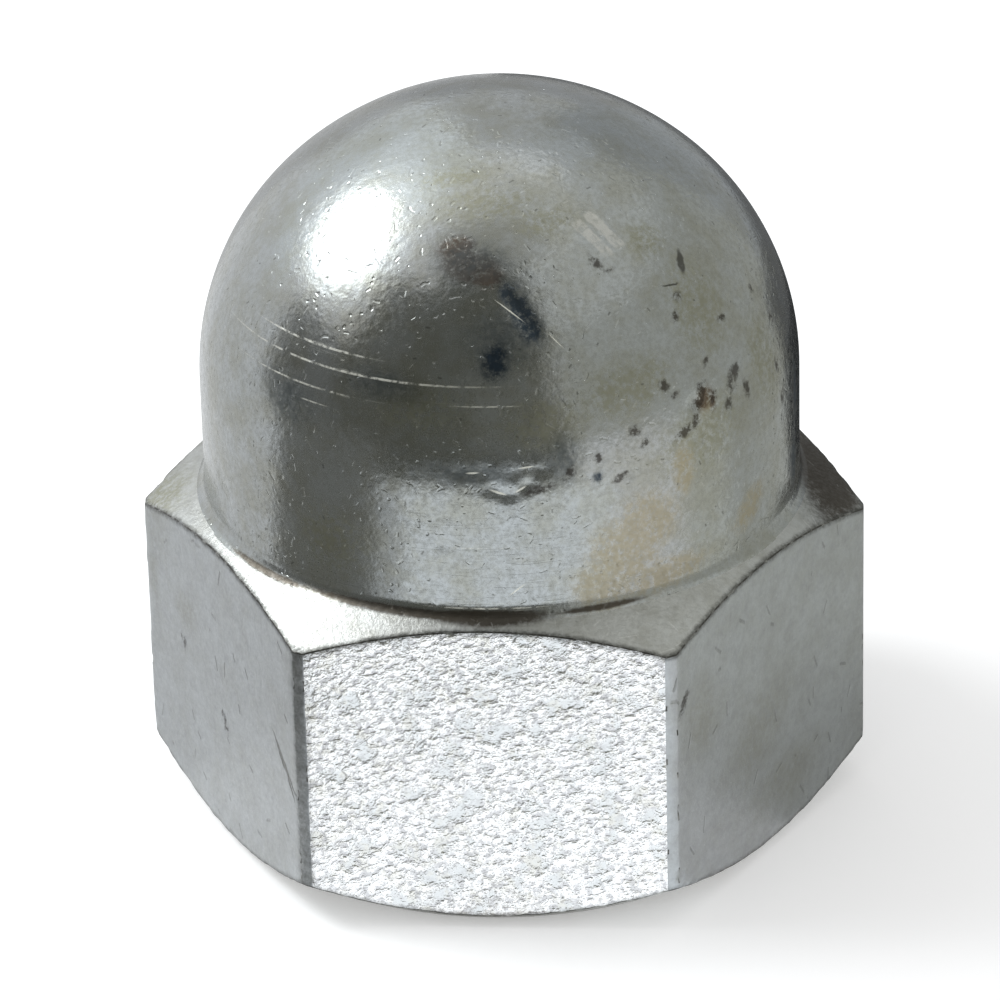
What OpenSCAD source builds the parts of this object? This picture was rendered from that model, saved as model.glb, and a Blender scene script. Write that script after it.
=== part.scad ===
// Domed cap nut: a hexagon with a turned neck and a rounded crown over a blind threaded hole.
// The origin is the centre of the bearing face, +Z runs up the axis to the crown,
// and one of the six flats faces -Y. All lengths are in millimetres.

/* [Hexagon] */
// Width across two opposite flats
across_flats = 24; // [23:0.1:30]
// Height of the hexagon, from the bearing face to the foot of the neck
hex_height = 13; // [8:0.5:20]
// Depth that the rounding takes off each upright corner
corner_cut = 0.13; // [0.05:0.01:0.6]

/* [Hexagon chamfers] */
// Slope of the chamfer under the neck, measured from the bearing plane
neck_chamfer_angle = 30; // [15:1:40]
// Slope of the chamfer round the bearing face, measured from the bearing plane
bearing_chamfer_angle = 34; // [15:1:45]
// How far the rim of the bearing face lies inside the flats
bearing_inset = 0.75; // [0.2:0.05:1.5]

/* [Dome] */
// Diameter of the neck and of the foot of the crown
neck_d = 22.6; // [18:0.1:22.8]
// Straight length of the neck, from the hexagon to where the crown begins
neck_length = 4.55; // [1:0.05:10]
// How much lower the crown is than a true hemisphere
crown_drop = 0.45; // [0.1:0.05:1.5]
// Radius of the fillet between the neck and the chamfer
neck_fillet = 0.6; // [0.2:0.1:1]

/* [Threaded hole] */
// Outside diameter of the thread
thread_d = 16; // [10:0.5:18]
// Pitch of the thread
thread_pitch = 2; // [1:0.25:2.5]
// How much wider than the thread the countersink opens
countersink_over = 1; // [0.2:0.1:2]
// Included angle of the countersink
countersink_angle = 120; // [90:5:130]
// Included angle of the drill point that ends the hole
drill_point_angle = 120; // [110:1:140]
// Metal left between the drill point and the top of the crown
crown_wall = 3.4; // [2:0.1:6]

/* [Hidden] */
$fn = 144;

// The corners of a full hexagon lie on this radius, before they are rounded.
full_corner_r = across_flats / 2 / cos(30);
corner_r = full_corner_r - corner_cut;
neck_r = neck_d / 2;
bearing_r = across_flats / 2 - bearing_inset;

// Heights where the two chamfers meet the rounded corners.
bearing_chamfer_z = (corner_r - bearing_r) * tan(bearing_chamfer_angle);
neck_chamfer_z = hex_height - (corner_r - neck_r) * tan(neck_chamfer_angle);

// The crown is two arcs that meet tangent: a tight shoulder arc and a wider top arc.
shoulder_z = hex_height + neck_length;
shoulder_offset = 1.6 * crown_drop;
shoulder_r = neck_r - shoulder_offset;
crown_r = neck_r + crown_drop / 1.2;
nut_height = shoulder_z + neck_r - crown_drop;
crown_centre_z = nut_height - crown_r;
meeting_angle = atan2(shoulder_z - crown_centre_z, shoulder_offset);

// The fillet touches the neck above the corner and the chamfer outside it.
fillet_reach = neck_fillet * tan(45 - neck_chamfer_angle / 2);
fillet_centre = [neck_r + neck_fillet, hex_height + fillet_reach];
fillet_foot = [neck_r + fillet_reach * cos(neck_chamfer_angle),
               hex_height - fillet_reach * sin(neck_chamfer_angle)];

// The hole is bored to the tapping size, which is the thread's crest diameter.
bore_r = (thread_d - thread_pitch) / 2;
countersink_r = (thread_d + countersink_over) / 2;
countersink_depth = (countersink_r - bore_r) / tan(countersink_angle / 2);
drill_point_z = nut_height - crown_wall;
bore_end_z = drill_point_z - bore_r / tan(drill_point_angle / 2);

module hex_bar() {
    linear_extrude(height = nut_height)
        circle(r = full_corner_r, $fn = 6);
}

module hexagon_profile() {
    polygon([[0, 0],
             [bearing_r, 0],
             [corner_r, bearing_chamfer_z],
             [corner_r, neck_chamfer_z],
             [neck_r, hex_height],
             [0, hex_height]]);
}

module neck_fillet_profile() {
    difference() {
        polygon([[neck_r - neck_fillet, hex_height - neck_fillet],
                 fillet_foot,
                 fillet_centre,
                 [neck_r, hex_height + fillet_reach]]);
        translate(fillet_centre)
            circle(r = neck_fillet);
    }
}

// The shoulder arc, from the neck's side up past the point where the top arc takes over.
module shoulder_profile() {
    intersection() {
        translate([shoulder_offset, shoulder_z])
            circle(r = shoulder_r);
        translate([0, hex_height])
            square([neck_r, nut_height - hex_height]);
    }
}

// The top arc, as the slice of its circle between the meeting point and the axis.
module crown_profile() {
    reach = 2 * crown_r;
    translate([0, crown_centre_z])
        intersection() {
            circle(r = crown_r);
            polygon([[0, 0],
                     reach * [cos(meeting_angle), sin(meeting_angle)],
                     [0, reach]]);
        }
}

// The neck, rooted inside the hexagon below its chamfer.
module neck_profile() {
    translate([0, neck_chamfer_z])
        square([neck_r, shoulder_z - neck_chamfer_z]);
}

module turned_blank() {
    rotate_extrude() {
        hexagon_profile();
        neck_fillet_profile();
        neck_profile();
        shoulder_profile();
        crown_profile();
    }
}

// Countersink, tapping bore and drill point, run out below the mouth for a clean cut.
module blind_hole() {
    run_out = 1;
    rotate_extrude()
        polygon([[0, -run_out],
                 [countersink_r + run_out * tan(countersink_angle / 2), -run_out],
                 [bore_r, countersink_depth],
                 [bore_r, bore_end_z],
                 [0, drill_point_z]]);
}

module cap_nut() {
    color([0.70, 0.71, 0.70])
        difference() {
            intersection() {
                turned_blank();
                hex_bar();
            }
            blind_hole();
        }
}

cap_nut();
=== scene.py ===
"""Dressed model of a zinc-plated domed cap nut, standing on its bearing face.

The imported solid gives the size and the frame. The outside is a turned blank whose flats
are milled afterwards, the hole has a real M16 x 2 thread, and every face gets the finish
that its own making left on it. Lengths in the classes are millimetres and angles degrees;
the finished mesh is scaled to metres in one place.
"""

from __future__ import annotations

import logging
import math
from collections.abc import Callable, Iterable
from dataclasses import dataclass, field
from enum import Enum
from typing import ClassVar

import bmesh
import bpy
from mathutils import Matrix, Vector, noise

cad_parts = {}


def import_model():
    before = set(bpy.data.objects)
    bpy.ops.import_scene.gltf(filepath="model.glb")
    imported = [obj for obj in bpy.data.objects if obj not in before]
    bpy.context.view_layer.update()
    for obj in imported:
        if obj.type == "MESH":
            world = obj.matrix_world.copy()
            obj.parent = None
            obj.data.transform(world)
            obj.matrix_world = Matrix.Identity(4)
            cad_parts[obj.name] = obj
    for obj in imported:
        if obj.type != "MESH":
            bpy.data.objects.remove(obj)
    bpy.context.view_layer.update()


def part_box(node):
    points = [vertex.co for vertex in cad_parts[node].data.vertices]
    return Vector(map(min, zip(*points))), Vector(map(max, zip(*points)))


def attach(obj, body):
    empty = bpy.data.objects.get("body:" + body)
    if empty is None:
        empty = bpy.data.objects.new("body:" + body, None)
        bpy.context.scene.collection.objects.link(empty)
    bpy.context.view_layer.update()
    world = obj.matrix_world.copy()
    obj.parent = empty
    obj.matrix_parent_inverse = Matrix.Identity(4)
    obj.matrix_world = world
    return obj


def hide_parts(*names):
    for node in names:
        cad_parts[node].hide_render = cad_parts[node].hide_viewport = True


LOG = logging.getLogger("cap_nut")

MM = 0.001
PIECE_NAME = "plated_cap_nut"
FULL_TURN = 2 * math.pi
SECTORS = 6
SIXTH = FULL_TURN / SECTORS
# Height of the point that the lights aim at and the cards curve round.
NUT_MIDDLE = 16.0
Node = bpy.types.Node
Socket = bpy.types.NodeSocket
Colour = tuple[float, float, float]
Stretch = tuple[float, float, float]
WHITE: Colour = (1.0, 1.0, 1.0)


def limited(value: float) -> float:
    """Limits a value to between 0 and 1."""
    return min(1.0, max(0.0, value))


def smooth(share: float) -> float:
    """Eases a share in at 0 and out at 1."""
    return share * share * (3 - 2 * share)


def noise_share(place: Vector) -> float:
    """Gives a noise from 0 to 1 at a place."""
    return 0.5 + 0.5 * noise.noise(place)


def turned(angle: float, axis: str) -> Matrix:
    """Gives the turn by an angle, in degrees, about an axis."""
    return Matrix.Rotation(math.radians(angle), 4, axis)


def raised(height: float) -> Matrix:
    """Gives the move up by a height in millimetres."""
    return Matrix.Translation((0, 0, height * MM))


def directions(azimuth: float) -> tuple[Vector, Vector]:
    """Gives the ways out from the axis and round it, at degrees from -Y towards +X."""
    turn = math.radians(azimuth)
    return Vector((math.sin(turn), -math.cos(turn), 0)), Vector((math.cos(turn), math.sin(turn), 0))


def frame_at(middle: Vector, along: Vector, across: Vector, normal: Vector) -> Matrix:
    """Puts a frame together.

    Args:
        middle: Its origin.
        along: Its X axis.
        across: Its Y axis.
        normal: Its Z axis.

    Returns:
        The matrix that takes a point out of the frame.
    """
    frame = Matrix((along, across, normal)).transposed().to_4x4()
    frame.translation = middle
    return frame


def make_object(
    name: str, bm: bmesh.types.BMesh, materials: Iterable[bpy.types.Material]
) -> bpy.types.Object:
    """Makes an object at the origin, adds it to the scene and frees its bmesh.

    Args:
        name: The object's name.
        bm: Its shape, in metres.
        materials: Its materials, in the order of their indices.

    Returns:
        The object.
    """
    mesh = bpy.data.meshes.new(name)
    bm.to_mesh(mesh)
    bm.free()
    for material in materials:
        mesh.materials.append(material)
    made = bpy.data.objects.new(name, mesh)
    bpy.context.scene.collection.objects.link(made)
    return made


# ------------------------------ Sizes


@dataclass(frozen=True)
class NutSizes:
    """The nut's real sizes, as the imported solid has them.

    Args:
        across_flats: Distance between two opposite flats.
        corner_r: Radius of the bar, which rounds the hexagon's upright corners.
        height: Height over the crown.
        hex_height: Height of the hexagon.
        neck_chamfer_angle: Slope of the chamfer under the neck.
        bearing_chamfer_angle: Slope of the chamfer round the bearing face.
        bearing_inset: Distance of the bearing face's rim from a flat.
        neck_r: Radius of the neck.
        neck_length: Length of the straight neck.
        neck_fillet: Radius of the fillet at the neck's foot.
        crown_drop: How far the crown is flatter than a half ball.
        shoulder_share: Inset of the shoulder arc's centre, for each unit of the drop.
        crown_share: Drop for each unit that the top arc is wider than the neck.
        thread_d: Outer diameter of the thread.
        thread_pitch: Pitch of the thread.
        countersink_over: How much wider than the thread the countersink opens.
        countersink_angle: Full angle of the countersink.
        drill_point_angle: Full angle of the drill point.
        crown_wall: Metal left over the drill point.
        wall_margin: Least distance that tells the hole's wall from the skin.
    """

    across_flats: float
    corner_r: float
    height: float
    hex_height: float = 13.0
    neck_chamfer_angle: float = 30.0
    bearing_chamfer_angle: float = 34.0
    bearing_inset: float = 0.75
    neck_r: float = 11.3
    neck_length: float = 4.55
    neck_fillet: float = 0.6
    crown_drop: float = 0.45
    shoulder_share: float = 1.6
    crown_share: float = 1.2
    thread_d: float = 16.0
    thread_pitch: float = 2.0
    countersink_over: float = 1.0
    countersink_angle: float = 120.0
    drill_point_angle: float = 120.0
    crown_wall: float = 3.4
    wall_margin: float = 0.1

    @classmethod
    def from_frame(cls, node: str) -> NutSizes:
        """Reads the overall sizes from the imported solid.

        Args:
            node: Name of the CAD node.

        Returns:
            The sizes, in millimetres.
        """
        low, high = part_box(node)
        span = (high - low) / MM
        return cls(across_flats=span.y, corner_r=span.x / 2, height=span.z)

    @property
    def flat_r(self) -> float:
        """Distance from the axis to a flat."""
        return self.across_flats / 2

    @property
    def bearing_r(self) -> float:
        """Radius of the bearing face's rim."""
        return self.flat_r - self.bearing_inset

    @property
    def flat_half_angle(self) -> float:
        """Half the angle, in radians, that one flat spans between its corner bands."""
        return math.acos(self.flat_r / self.corner_r)

    @property
    def fillet_foot(self) -> tuple[float, float]:
        """Radius and height at which the neck's fillet meets the chamfer."""
        slope = math.radians(self.neck_chamfer_angle)
        reach = self.neck_fillet * math.tan(math.pi / 4 - slope / 2)
        return self.neck_r + reach * math.cos(slope), self.hex_height - reach * math.sin(slope)

    @property
    def shoulder_z(self) -> float:
        """Height at which the straight neck ends and the crown begins."""
        return self.hex_height + self.neck_length

    @property
    def shoulder_offset(self) -> float:
        """Distance from the axis to the centre of the shoulder arc."""
        return self.shoulder_share * self.crown_drop

    @property
    def crown_r(self) -> float:
        """Radius of the wide arc over the top."""
        return self.neck_r + self.crown_drop / self.crown_share

    @property
    def crown_centre_z(self) -> float:
        """Height of the wide arc's centre."""
        return self.height - self.crown_r

    @property
    def meeting_angle(self) -> float:
        """Elevation, in radians, at which the two arcs of the crown meet."""
        return math.atan2(self.shoulder_z - self.crown_centre_z, self.shoulder_offset)

    @property
    def bore_r(self) -> float:
        """Radius of the tapping bore, which is the thread's crest."""
        return (self.thread_d - self.thread_pitch) / 2

    @property
    def mouth_r(self) -> float:
        """Radius at which the countersink opens."""
        return (self.thread_d + self.countersink_over) / 2

    @property
    def drill_point_z(self) -> float:
        """Height of the drill point's tip."""
        return self.height - self.crown_wall

    @property
    def bore_end_z(self) -> float:
        """Height at which the straight bore ends."""
        return self.drill_point_z - self.bore_r / math.tan(math.radians(self.drill_point_angle / 2))

    def skin_at(self, height: float) -> tuple[float, float]:
        """Finds the turned skin's radius and slope at a height.

        Args:
            height: The height.

        Returns:
            The radius, and the elevation of the skin's normal in radians.
        """
        above = height - self.shoulder_z
        if height < self.fillet_foot[1]:
            slope = math.radians(90 - self.neck_chamfer_angle)
            return self.neck_r + (self.hex_height - height) * math.tan(slope), slope
        if above <= 0:
            return self.neck_r, 0.0
        shoulder_r = self.neck_r - self.shoulder_offset
        if above < shoulder_r * math.sin(self.meeting_angle):
            slope = math.asin(above / shoulder_r)
            return self.shoulder_offset + shoulder_r * math.cos(slope), slope
        slope = math.asin(min(1.0, (height - self.crown_centre_z) / self.crown_r))
        return self.crown_r * math.cos(slope), slope

    def hole_reach(self, height: float) -> float:
        """Radius inside which a point of that height belongs to the hole."""
        return self.mouth_r if height < self.bore_end_z + self.wall_margin else 0.0

    def neck_chamfer_z(self, radius: float) -> float:
        """Height of the chamfer under the neck at a radius."""
        return self.hex_height - (radius - self.neck_r) * math.tan(math.radians(self.neck_chamfer_angle))

    def bearing_chamfer_z(self, radius: float) -> float:
        """Height of the chamfer round the bearing face at a radius."""
        return (radius - self.bearing_r) * math.tan(math.radians(self.bearing_chamfer_angle))

    def upright_gap(self, angle: float) -> float:
        """Distance along the hexagon from an angle, in radians, to the nearest rounded corner."""
        from_flat = abs(angle % SIXTH - SIXTH / 2)
        return max(0.0, self.flat_half_angle - from_flat) * self.corner_r

    def hexagon_r(self, angle: float) -> float:
        """Radius of the milled hexagon at an angle about the axis, in radians."""
        from_flat = angle % SIXTH - SIXTH / 2
        return min(self.flat_r / math.cos(from_flat), self.corner_r)


@dataclass(frozen=True)
class Mark:
    """A place on the turned skin, long or round, that a stain, scratch or dent takes up.

    Args:
        azimuth: Degrees round the axis, from -Y towards +X.
        height: Height of its middle.
        along: Half its length.
        across: Half its width.
        turn: Angle of its length above the horizontal, in degrees.
        through: How far below and above the skin it reaches where a finish draws it.
    """

    azimuth: float
    height: float
    along: float
    across: float
    turn: float = 0.0
    through: float = 5.0

    def origin(self, sizes: NutSizes) -> tuple[Vector, Vector]:
        """Finds the mark's middle and the skin's normal there.

        Args:
            sizes: The nut's sizes.

        Returns:
            The middle, in millimetres, and the normal.
        """
        radius, slope = sizes.skin_at(self.height)
        out, _ = directions(self.azimuth)
        normal = out * math.cos(slope) + Vector((0, 0, math.sin(slope)))
        return out * radius + Vector((0, 0, self.height)), normal

    def frame(self, sizes: NutSizes) -> Matrix:
        """Finds the mark's own frame: its length along X and the skin's normal along Z.

        Args:
            sizes: The nut's sizes.

        Returns:
            The frame, in millimetres.
        """
        middle, normal = self.origin(sizes)
        _, east = directions(self.azimuth)
        north = normal.cross(east)
        lean = math.radians(self.turn)
        along = east * math.cos(lean) + north * math.sin(lean)
        across = north * math.cos(lean) - east * math.sin(lean)
        return frame_at(middle, along, across, normal)

    @property
    def reach(self) -> float:
        """Distance off the mark's plane within which a painted mark or a dent still counts."""
        return 0.5 * (1 + self.along)

    def share_from_middle(self, local: Vector) -> float:
        """Says how far out a point of the mark's own frame lies: 0 in its middle and 1 at its rim."""
        flat_share = math.hypot(local.x / self.along, local.y / self.across)
        return flat_share if abs(local.z) <= self.reach else math.inf


@dataclass(frozen=True)
class FlatMark(Mark):
    """A place on a milled flat. Its azimuth is the way that the flat faces.

    Args:
        aside: Distance of its middle from the middle of the flat, to the right.
    """

    aside: float = 0.0

    def origin(self, sizes: NutSizes) -> tuple[Vector, Vector]:
        """Finds the mark's middle and the flat's normal.

        Args:
            sizes: The nut's sizes.

        Returns:
            The middle, in millimetres, and the normal.
        """
        normal, east = directions(self.azimuth)
        return normal * sizes.flat_r + east * self.aside + Vector((0, 0, self.height)), normal


@dataclass(frozen=True)
class RingMark(Mark):
    """A scratch that the turning left. It lies in a plane of its own, so it bends round the skin."""

    through: float = 14.0

    def frame(self, sizes: NutSizes) -> Matrix:
        """Finds a frame with its length along the part's X and its width along Z.

        Args:
            sizes: The nut's sizes.

        Returns:
            The frame, in millimetres.
        """
        middle, _ = self.origin(sizes)
        lean = math.radians(self.turn)
        along = Vector((math.cos(lean), 0, math.sin(lean)))
        across = Vector((-math.sin(lean), 0, math.cos(lean)))
        return frame_at(middle, along, across, along.cross(across))


@dataclass(frozen=True)
class PaintedLayer:
    """Dirt that is painted on the mesh as a named attribute, which a finish reads.

    Args:
        name: The attribute's name.
    """

    name: str

    def paint(self, bm: bmesh.types.BMesh, sizes: NutSizes) -> None:
        """Paints the layer on the nut's mesh, whose sizes are given in millimetres."""
        raise NotImplementedError


@dataclass(frozen=True)
class StainLayer(PaintedLayer):
    """Stains of one kind, each at a place of its own.

    Args:
        marks: Where the stains are.
        soft: Share of a stain's radius over which it fades.
    """

    marks: tuple[Mark, ...]
    soft: float = 1.0

    def paint(self, bm: bmesh.types.BMesh, sizes: NutSizes) -> None:
        """Paints the stains on the outside.

        Args:
            bm: The nut's mesh, in millimetres.
            sizes: The nut's sizes.
        """
        layer = bm.verts.layers.float.new(self.name)
        frames = [(mark, mark.frame(sizes)) for mark in self.marks]
        placed = [(m, frame.inverted(), frame.translation.z, m.along + m.across) for m, frame in frames]
        for v in bm.verts:
            z = v.co.z
            near = [(mark, into) for mark, into, middle, reach in placed if abs(z - middle) < reach]
            if not near or math.hypot(v.co.x, v.co.y) < sizes.hole_reach(z):
                continue
            nearest = min(mark.share_from_middle(into @ v.co) for mark, into in near)
            v[layer] = smooth(limited((1.0 - nearest) / self.soft))


@dataclass(frozen=True)
class EdgeLayer(PaintedLayer):
    """Dirt along the hexagon's edges.

    Args:
        reach: How far from an edge it fades out.
        on_upright: How much of it lies along the dirtiest upright edge.
        dirtiest: Which way that edge faces, in degrees from -Y towards +X.
        falloff: How quickly the uprights get cleaner away from it.
        on_foot: How much of it lies along the lower ends of the flats.
        lowest: Height above the bearing face at which it starts.
    """

    reach: float = 0.34
    on_upright: float = 0.62
    dirtiest: float = -30.0
    falloff: int = 3
    on_foot: float = 0.8
    lowest: float = 0.01

    def paint(self, bm: bmesh.types.BMesh, sizes: NutSizes) -> None:
        """Paints the edges of the hexagon.

        Args:
            bm: The nut's mesh, in millimetres.
            sizes: The nut's sizes.
        """
        layer = bm.verts.layers.float.new(self.name)
        for v in bm.verts:
            radius = math.hypot(v.co.x, v.co.y)
            if radius < sizes.bearing_r or not self.lowest <= v.co.z <= sizes.hex_height:
                continue
            turn = math.atan2(v.co.y, v.co.x)
            cut_r = sizes.hexagon_r(turn)
            to_arc = math.hypot(cut_r - radius, sizes.neck_chamfer_z(cut_r) - v.co.z)
            to_foot = math.hypot(cut_r - radius, sizes.bearing_chamfer_z(cut_r) - v.co.z)
            to_upright = sizes.upright_gap(turn) if cut_r - radius < self.reach else self.reach
            facing = math.cos(turn + math.pi / 2 - math.radians(self.dirtiest))
            on_upright = self.on_upright * max(0.0, facing) ** self.falloff
            shares = (1.0, to_arc), (on_upright, to_upright), (self.on_foot, to_foot)
            v[layer] = max(share * max(0.0, 1 - gap / self.reach) for share, gap in shares)


class Face(Enum):
    """The faces of the nut that differ in how they were made, by material index."""

    TURNED = 0
    CHAMFER = 1
    SMOOTH_FLAT = 2
    COARSE_FLAT = 3
    BEARING = 4
    HOLE = 5
    EDGE = 6


# ------------------------------ Mesh


@dataclass
class Outline:
    """A half section that is drawn point by point and then spun round the axis."""

    points: list[Vector] = field(default_factory=list)

    def start(self, radius: float, height: float) -> Outline:
        """Sets the first point and returns the outline."""
        self.points = [Vector((radius, 0, height))]
        return self

    def line_to(self, radius: float, height: float, steps: int) -> Outline:
        """Adds a straight stretch.

        Args:
            radius: Radius of the end point.
            height: Height of the end point.
            steps: Number of rows in the stretch.

        Returns:
            The outline, for the next stretch.
        """
        first, last = self.points[-1].copy(), Vector((radius, 0, height))
        self.points += [first.lerp(last, i / steps) for i in range(1, steps + 1)]
        return self

    def arc(
        self, centre: tuple[float, float], radius: float, first: float, last: float, steps: int
    ) -> Outline:
        """Adds a round stretch after the point at its first angle.

        Args:
            centre: Radius and height of the arc's centre.
            radius: Radius of the arc.
            first: Elevation of its first point, in radians.
            last: Elevation of its last point, in radians.
            steps: Number of rows in the stretch.

        Returns:
            The outline, for the next stretch.
        """
        for i in range(1, steps + 1):
            angle = first + (last - first) * i / steps
            out, up = radius * math.cos(angle), radius * math.sin(angle)
            self.points.append(Vector((centre[0] + out, 0, centre[1] + up)))
        return self

    def draw(self, bm: bmesh.types.BMesh) -> list[bmesh.types.BMElem]:
        """Draws the outline as a chain of edges.

        Args:
            bm: The mesh that receives it.

        Returns:
            Its vertices and edges.
        """
        verts = [bm.verts.new(p) for p in self.points]
        return [*verts, *(bm.edges.new(pair) for pair in zip(verts, verts[1:]))]


def repeat_moved(bm: bmesh.types.BMesh, count: int, step: Matrix) -> None:
    """Copies all of a mesh, each copy one step further on than the last.

    Args:
        bm: The mesh, which holds the first of the copies.
        count: How many there are in all.
        step: The move from one to the next.
    """
    last = [*bm.verts, *bm.edges, *bm.faces]
    for _ in range(count - 1):
        last = bmesh.ops.duplicate(bm, geom=last)["geom"]
        moved = [g for g in last if isinstance(g, bmesh.types.BMVert)]
        bmesh.ops.transform(bm, matrix=step, verts=moved)


@dataclass(frozen=True)
class Dent:
    """A shallow hollow pressed into the skin of the mesh.

    Args:
        mark: Where it lies.
        depth: How deep it goes.
        flat: Whether its floor is flat and not round.
        slope: Width of a flat dent's sloping rim, as a share of its half size.
        search: How far from its middle a dent is looked for, as a share of its half diagonal.
    """

    mark: Mark
    depth: float
    flat: bool = False
    slope: float = 0.4
    search: float = 1.3

    def presser(self, sizes: NutSizes) -> Callable[[Vector], float]:
        """Makes the function that says how deep the hollow is at a point.

        Args:
            sizes: The nut's sizes.

        Returns:
            The function, zero outside the mark.
        """
        mark = self.mark
        into_mark = mark.frame(sizes).inverted()
        reach = self.search * math.hypot(mark.along, mark.across)
        rim = 1 + self.slope / 2

        def push(point: Vector) -> float:
            """Says how far a point goes in."""
            local = into_mark @ point
            if local.length > reach:
                return 0.0
            if self.flat:
                edge = max(abs(local.x) / mark.along, abs(local.y) / mark.across)
                return self.depth * limited((rim - edge) / self.slope)
            return self.depth * max(0.0, 1 - mark.share_from_middle(local) ** 2) ** 2

        return push


# Rows of the mesh in each stretch of the blank's outline.
OUTLINE_ROWS = {
    "bearing": 5,
    "bearing_chamfer": 10,
    "flat": 44,
    "neck_chamfer": 11,
    "fillet": 7,
    "neck": 22,
    "shoulder": 48,
    "top": 44,
}


@dataclass
class TurnedBlank:
    """The outside of the nut: spun as a round blank, milled to six flats, then worn.

    Args:
        sizes: The nut's sizes.
        flat_steps: Columns of the mesh across a flat.
        corner_steps: Columns across a rounded corner.
        seat_r: Radius at which the skin stops inside the bearing face.
        weld: Distance below which points are joined.
        edge_softening: Width of the round on a sharp edge.
        soft_edge_angle: Least angle of an edge that is rounded.
        edge_lean: Least rise of the normal of a rounded edge that gets the edge's own finish.
        burr: How far the sharp edges are worn in, at most.
        burr_scales: Scales of the coarse and the fine wear.
        burr_fine: Strength of the fine wear.
        burr_bias: Wear where both are nought.
        ripple: How deep the turned skin waves.
        ripple_scale: Scale of the waves.
        coarse_depth: How deep the coarse flat's skin waves.
        coarse_scales: Scales of those waves, across the flat and up it.
        coarse_slice: Where the noise of those waves is cut.
        coarse_span: Heights between which the flat has them.
        dents: The dents in the dome and neck.
    """

    sizes: NutSizes
    flat_steps: int = 60
    corner_steps: int = 2
    seat_r: float = 9.7
    weld: float = 0.002
    edge_softening: float = 0.13
    soft_edge_angle: float = 20.0
    edge_lean: float = 0.1
    burr: float = 0.045
    burr_scales: tuple[float, float] = (1.7, 4.1)
    burr_fine: float = 0.6
    burr_bias: float = 0.35
    ripple: float = 0.006
    ripple_scale: float = 0.55
    coarse_depth: float = 0.03
    coarse_scales: tuple[float, float] = (1.3, 2.2)
    coarse_slice: float = 7.0
    coarse_span: tuple[float, float] = (0.7, 12.4)
    dents: tuple[Dent, ...] = (
        Dent(Mark(4.6, 18.3, 1.7, 0.9), 0.025),
        Dent(Mark(-3.4, 18.7, 0.5, 0.32, 20.0), 0.035),
        Dent(Mark(0.4, 18.75, 0.45, 0.34, -20.0), 0.04),
        Dent(Mark(2.0, 18.1, 0.42, 0.34, 30.0), 0.04),
        Dent(Mark(5.0, 17.85, 0.6, 0.36, -20.0), 0.05),
        Dent(Mark(6.4, 18.7, 0.45, 0.34, 10.0), 0.035),
        Dent(Mark(8.6, 18.2, 0.42, 0.36, 45.0), 0.045),
        Dent(Mark(11.0, 18.75, 0.5, 0.34, -30.0), 0.045),
        Dent(Mark(37.3, 25.85, 1.0, 0.24, -68.0), 0.03, True),
        Dent(Mark(33.4, 25.65, 0.95, 0.24, -68.0), 0.03, True),
        Dent(Mark(-18.0, 28.385, 0.45, 0.3, 20.0), 0.05),
        Dent(Mark(43.9, 19.95, 0.5, 0.42, 40.0), 0.07),
        Dent(Mark(57.5, 19.8, 0.55, 0.7), 0.05),
        Dent(Mark(52.9, 24.35, 0.6, 0.24, -64.0), 0.05),
        Dent(Mark(28.0, 18.1, 0.6, 0.35, 20.0), 0.06),
        Dent(Mark(-7.5, 15.8, 0.3, 0.3), 0.05),
        Dent(Mark(-62.0, 14.6, 1.5, 0.5, -62.0), 0.05),
        Dent(Mark(2.6, 22.9, 0.55, 0.5), 0.05),
        Dent(Mark(9.4, 24.0, 1.6, 0.45, -58.0), 0.05),
    )

    def outline(self) -> Outline:
        """Draws the half section of the blank, from the bearing face up to the crown.

        Returns:
            The outline, ready to spin.
        """
        s = self.sizes
        slope = math.radians(s.neck_chamfer_angle)
        fillet_centre = (
            s.neck_r + s.neck_fillet,
            s.hex_height + s.neck_fillet * math.tan(math.pi / 4 - slope / 2),
        )
        shoulder_r = s.neck_r - s.shoulder_offset
        rows = OUTLINE_ROWS
        return (
            Outline()
            .start(self.seat_r, 0)
            .line_to(s.bearing_r, 0, rows["bearing"])
            .line_to(s.corner_r, s.bearing_chamfer_z(s.corner_r), rows["bearing_chamfer"])
            .line_to(s.corner_r, s.neck_chamfer_z(s.corner_r), rows["flat"])
            .line_to(*s.fillet_foot, rows["neck_chamfer"])
            .arc(fillet_centre, s.neck_fillet, -math.pi / 2 - slope, -math.pi, rows["fillet"])
            .line_to(s.neck_r, s.shoulder_z, rows["neck"])
            .arc((s.shoulder_offset, s.shoulder_z), shoulder_r, 0, s.meeting_angle, rows["shoulder"])
            .arc((0, s.crown_centre_z), s.crown_r, s.meeting_angle, math.pi / 2, rows["top"])
        )

    def spin(self) -> bmesh.types.BMesh:
        """Spins one flat and one corner, so that columns fall on the corner's edges, and repeats them.

        Returns:
            The round blank, open at the seat.
        """
        bm = bmesh.new()
        chain = self.outline().draw(bm)
        half_flat = self.sizes.flat_half_angle
        to_corner = Matrix.Rotation(SIXTH / 2 - half_flat, 4, "Z")
        bmesh.ops.transform(bm, matrix=to_corner, verts=bm.verts[:])
        strokes = ((2 * half_flat, self.flat_steps), (SIXTH - 2 * half_flat, self.corner_steps))
        for angle, steps in strokes:
            spun = bmesh.ops.spin(
                bm, geom=chain, cent=(0, 0, 0), axis=(0, 0, 1), angle=angle, steps=steps, use_merge=False
            )
            chain = spun["geom_last"]
        repeat_moved(bm, SECTORS, Matrix.Rotation(SIXTH, 4, "Z"))
        bmesh.ops.remove_doubles(bm, verts=bm.verts[:], dist=self.weld)
        return bm

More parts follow.
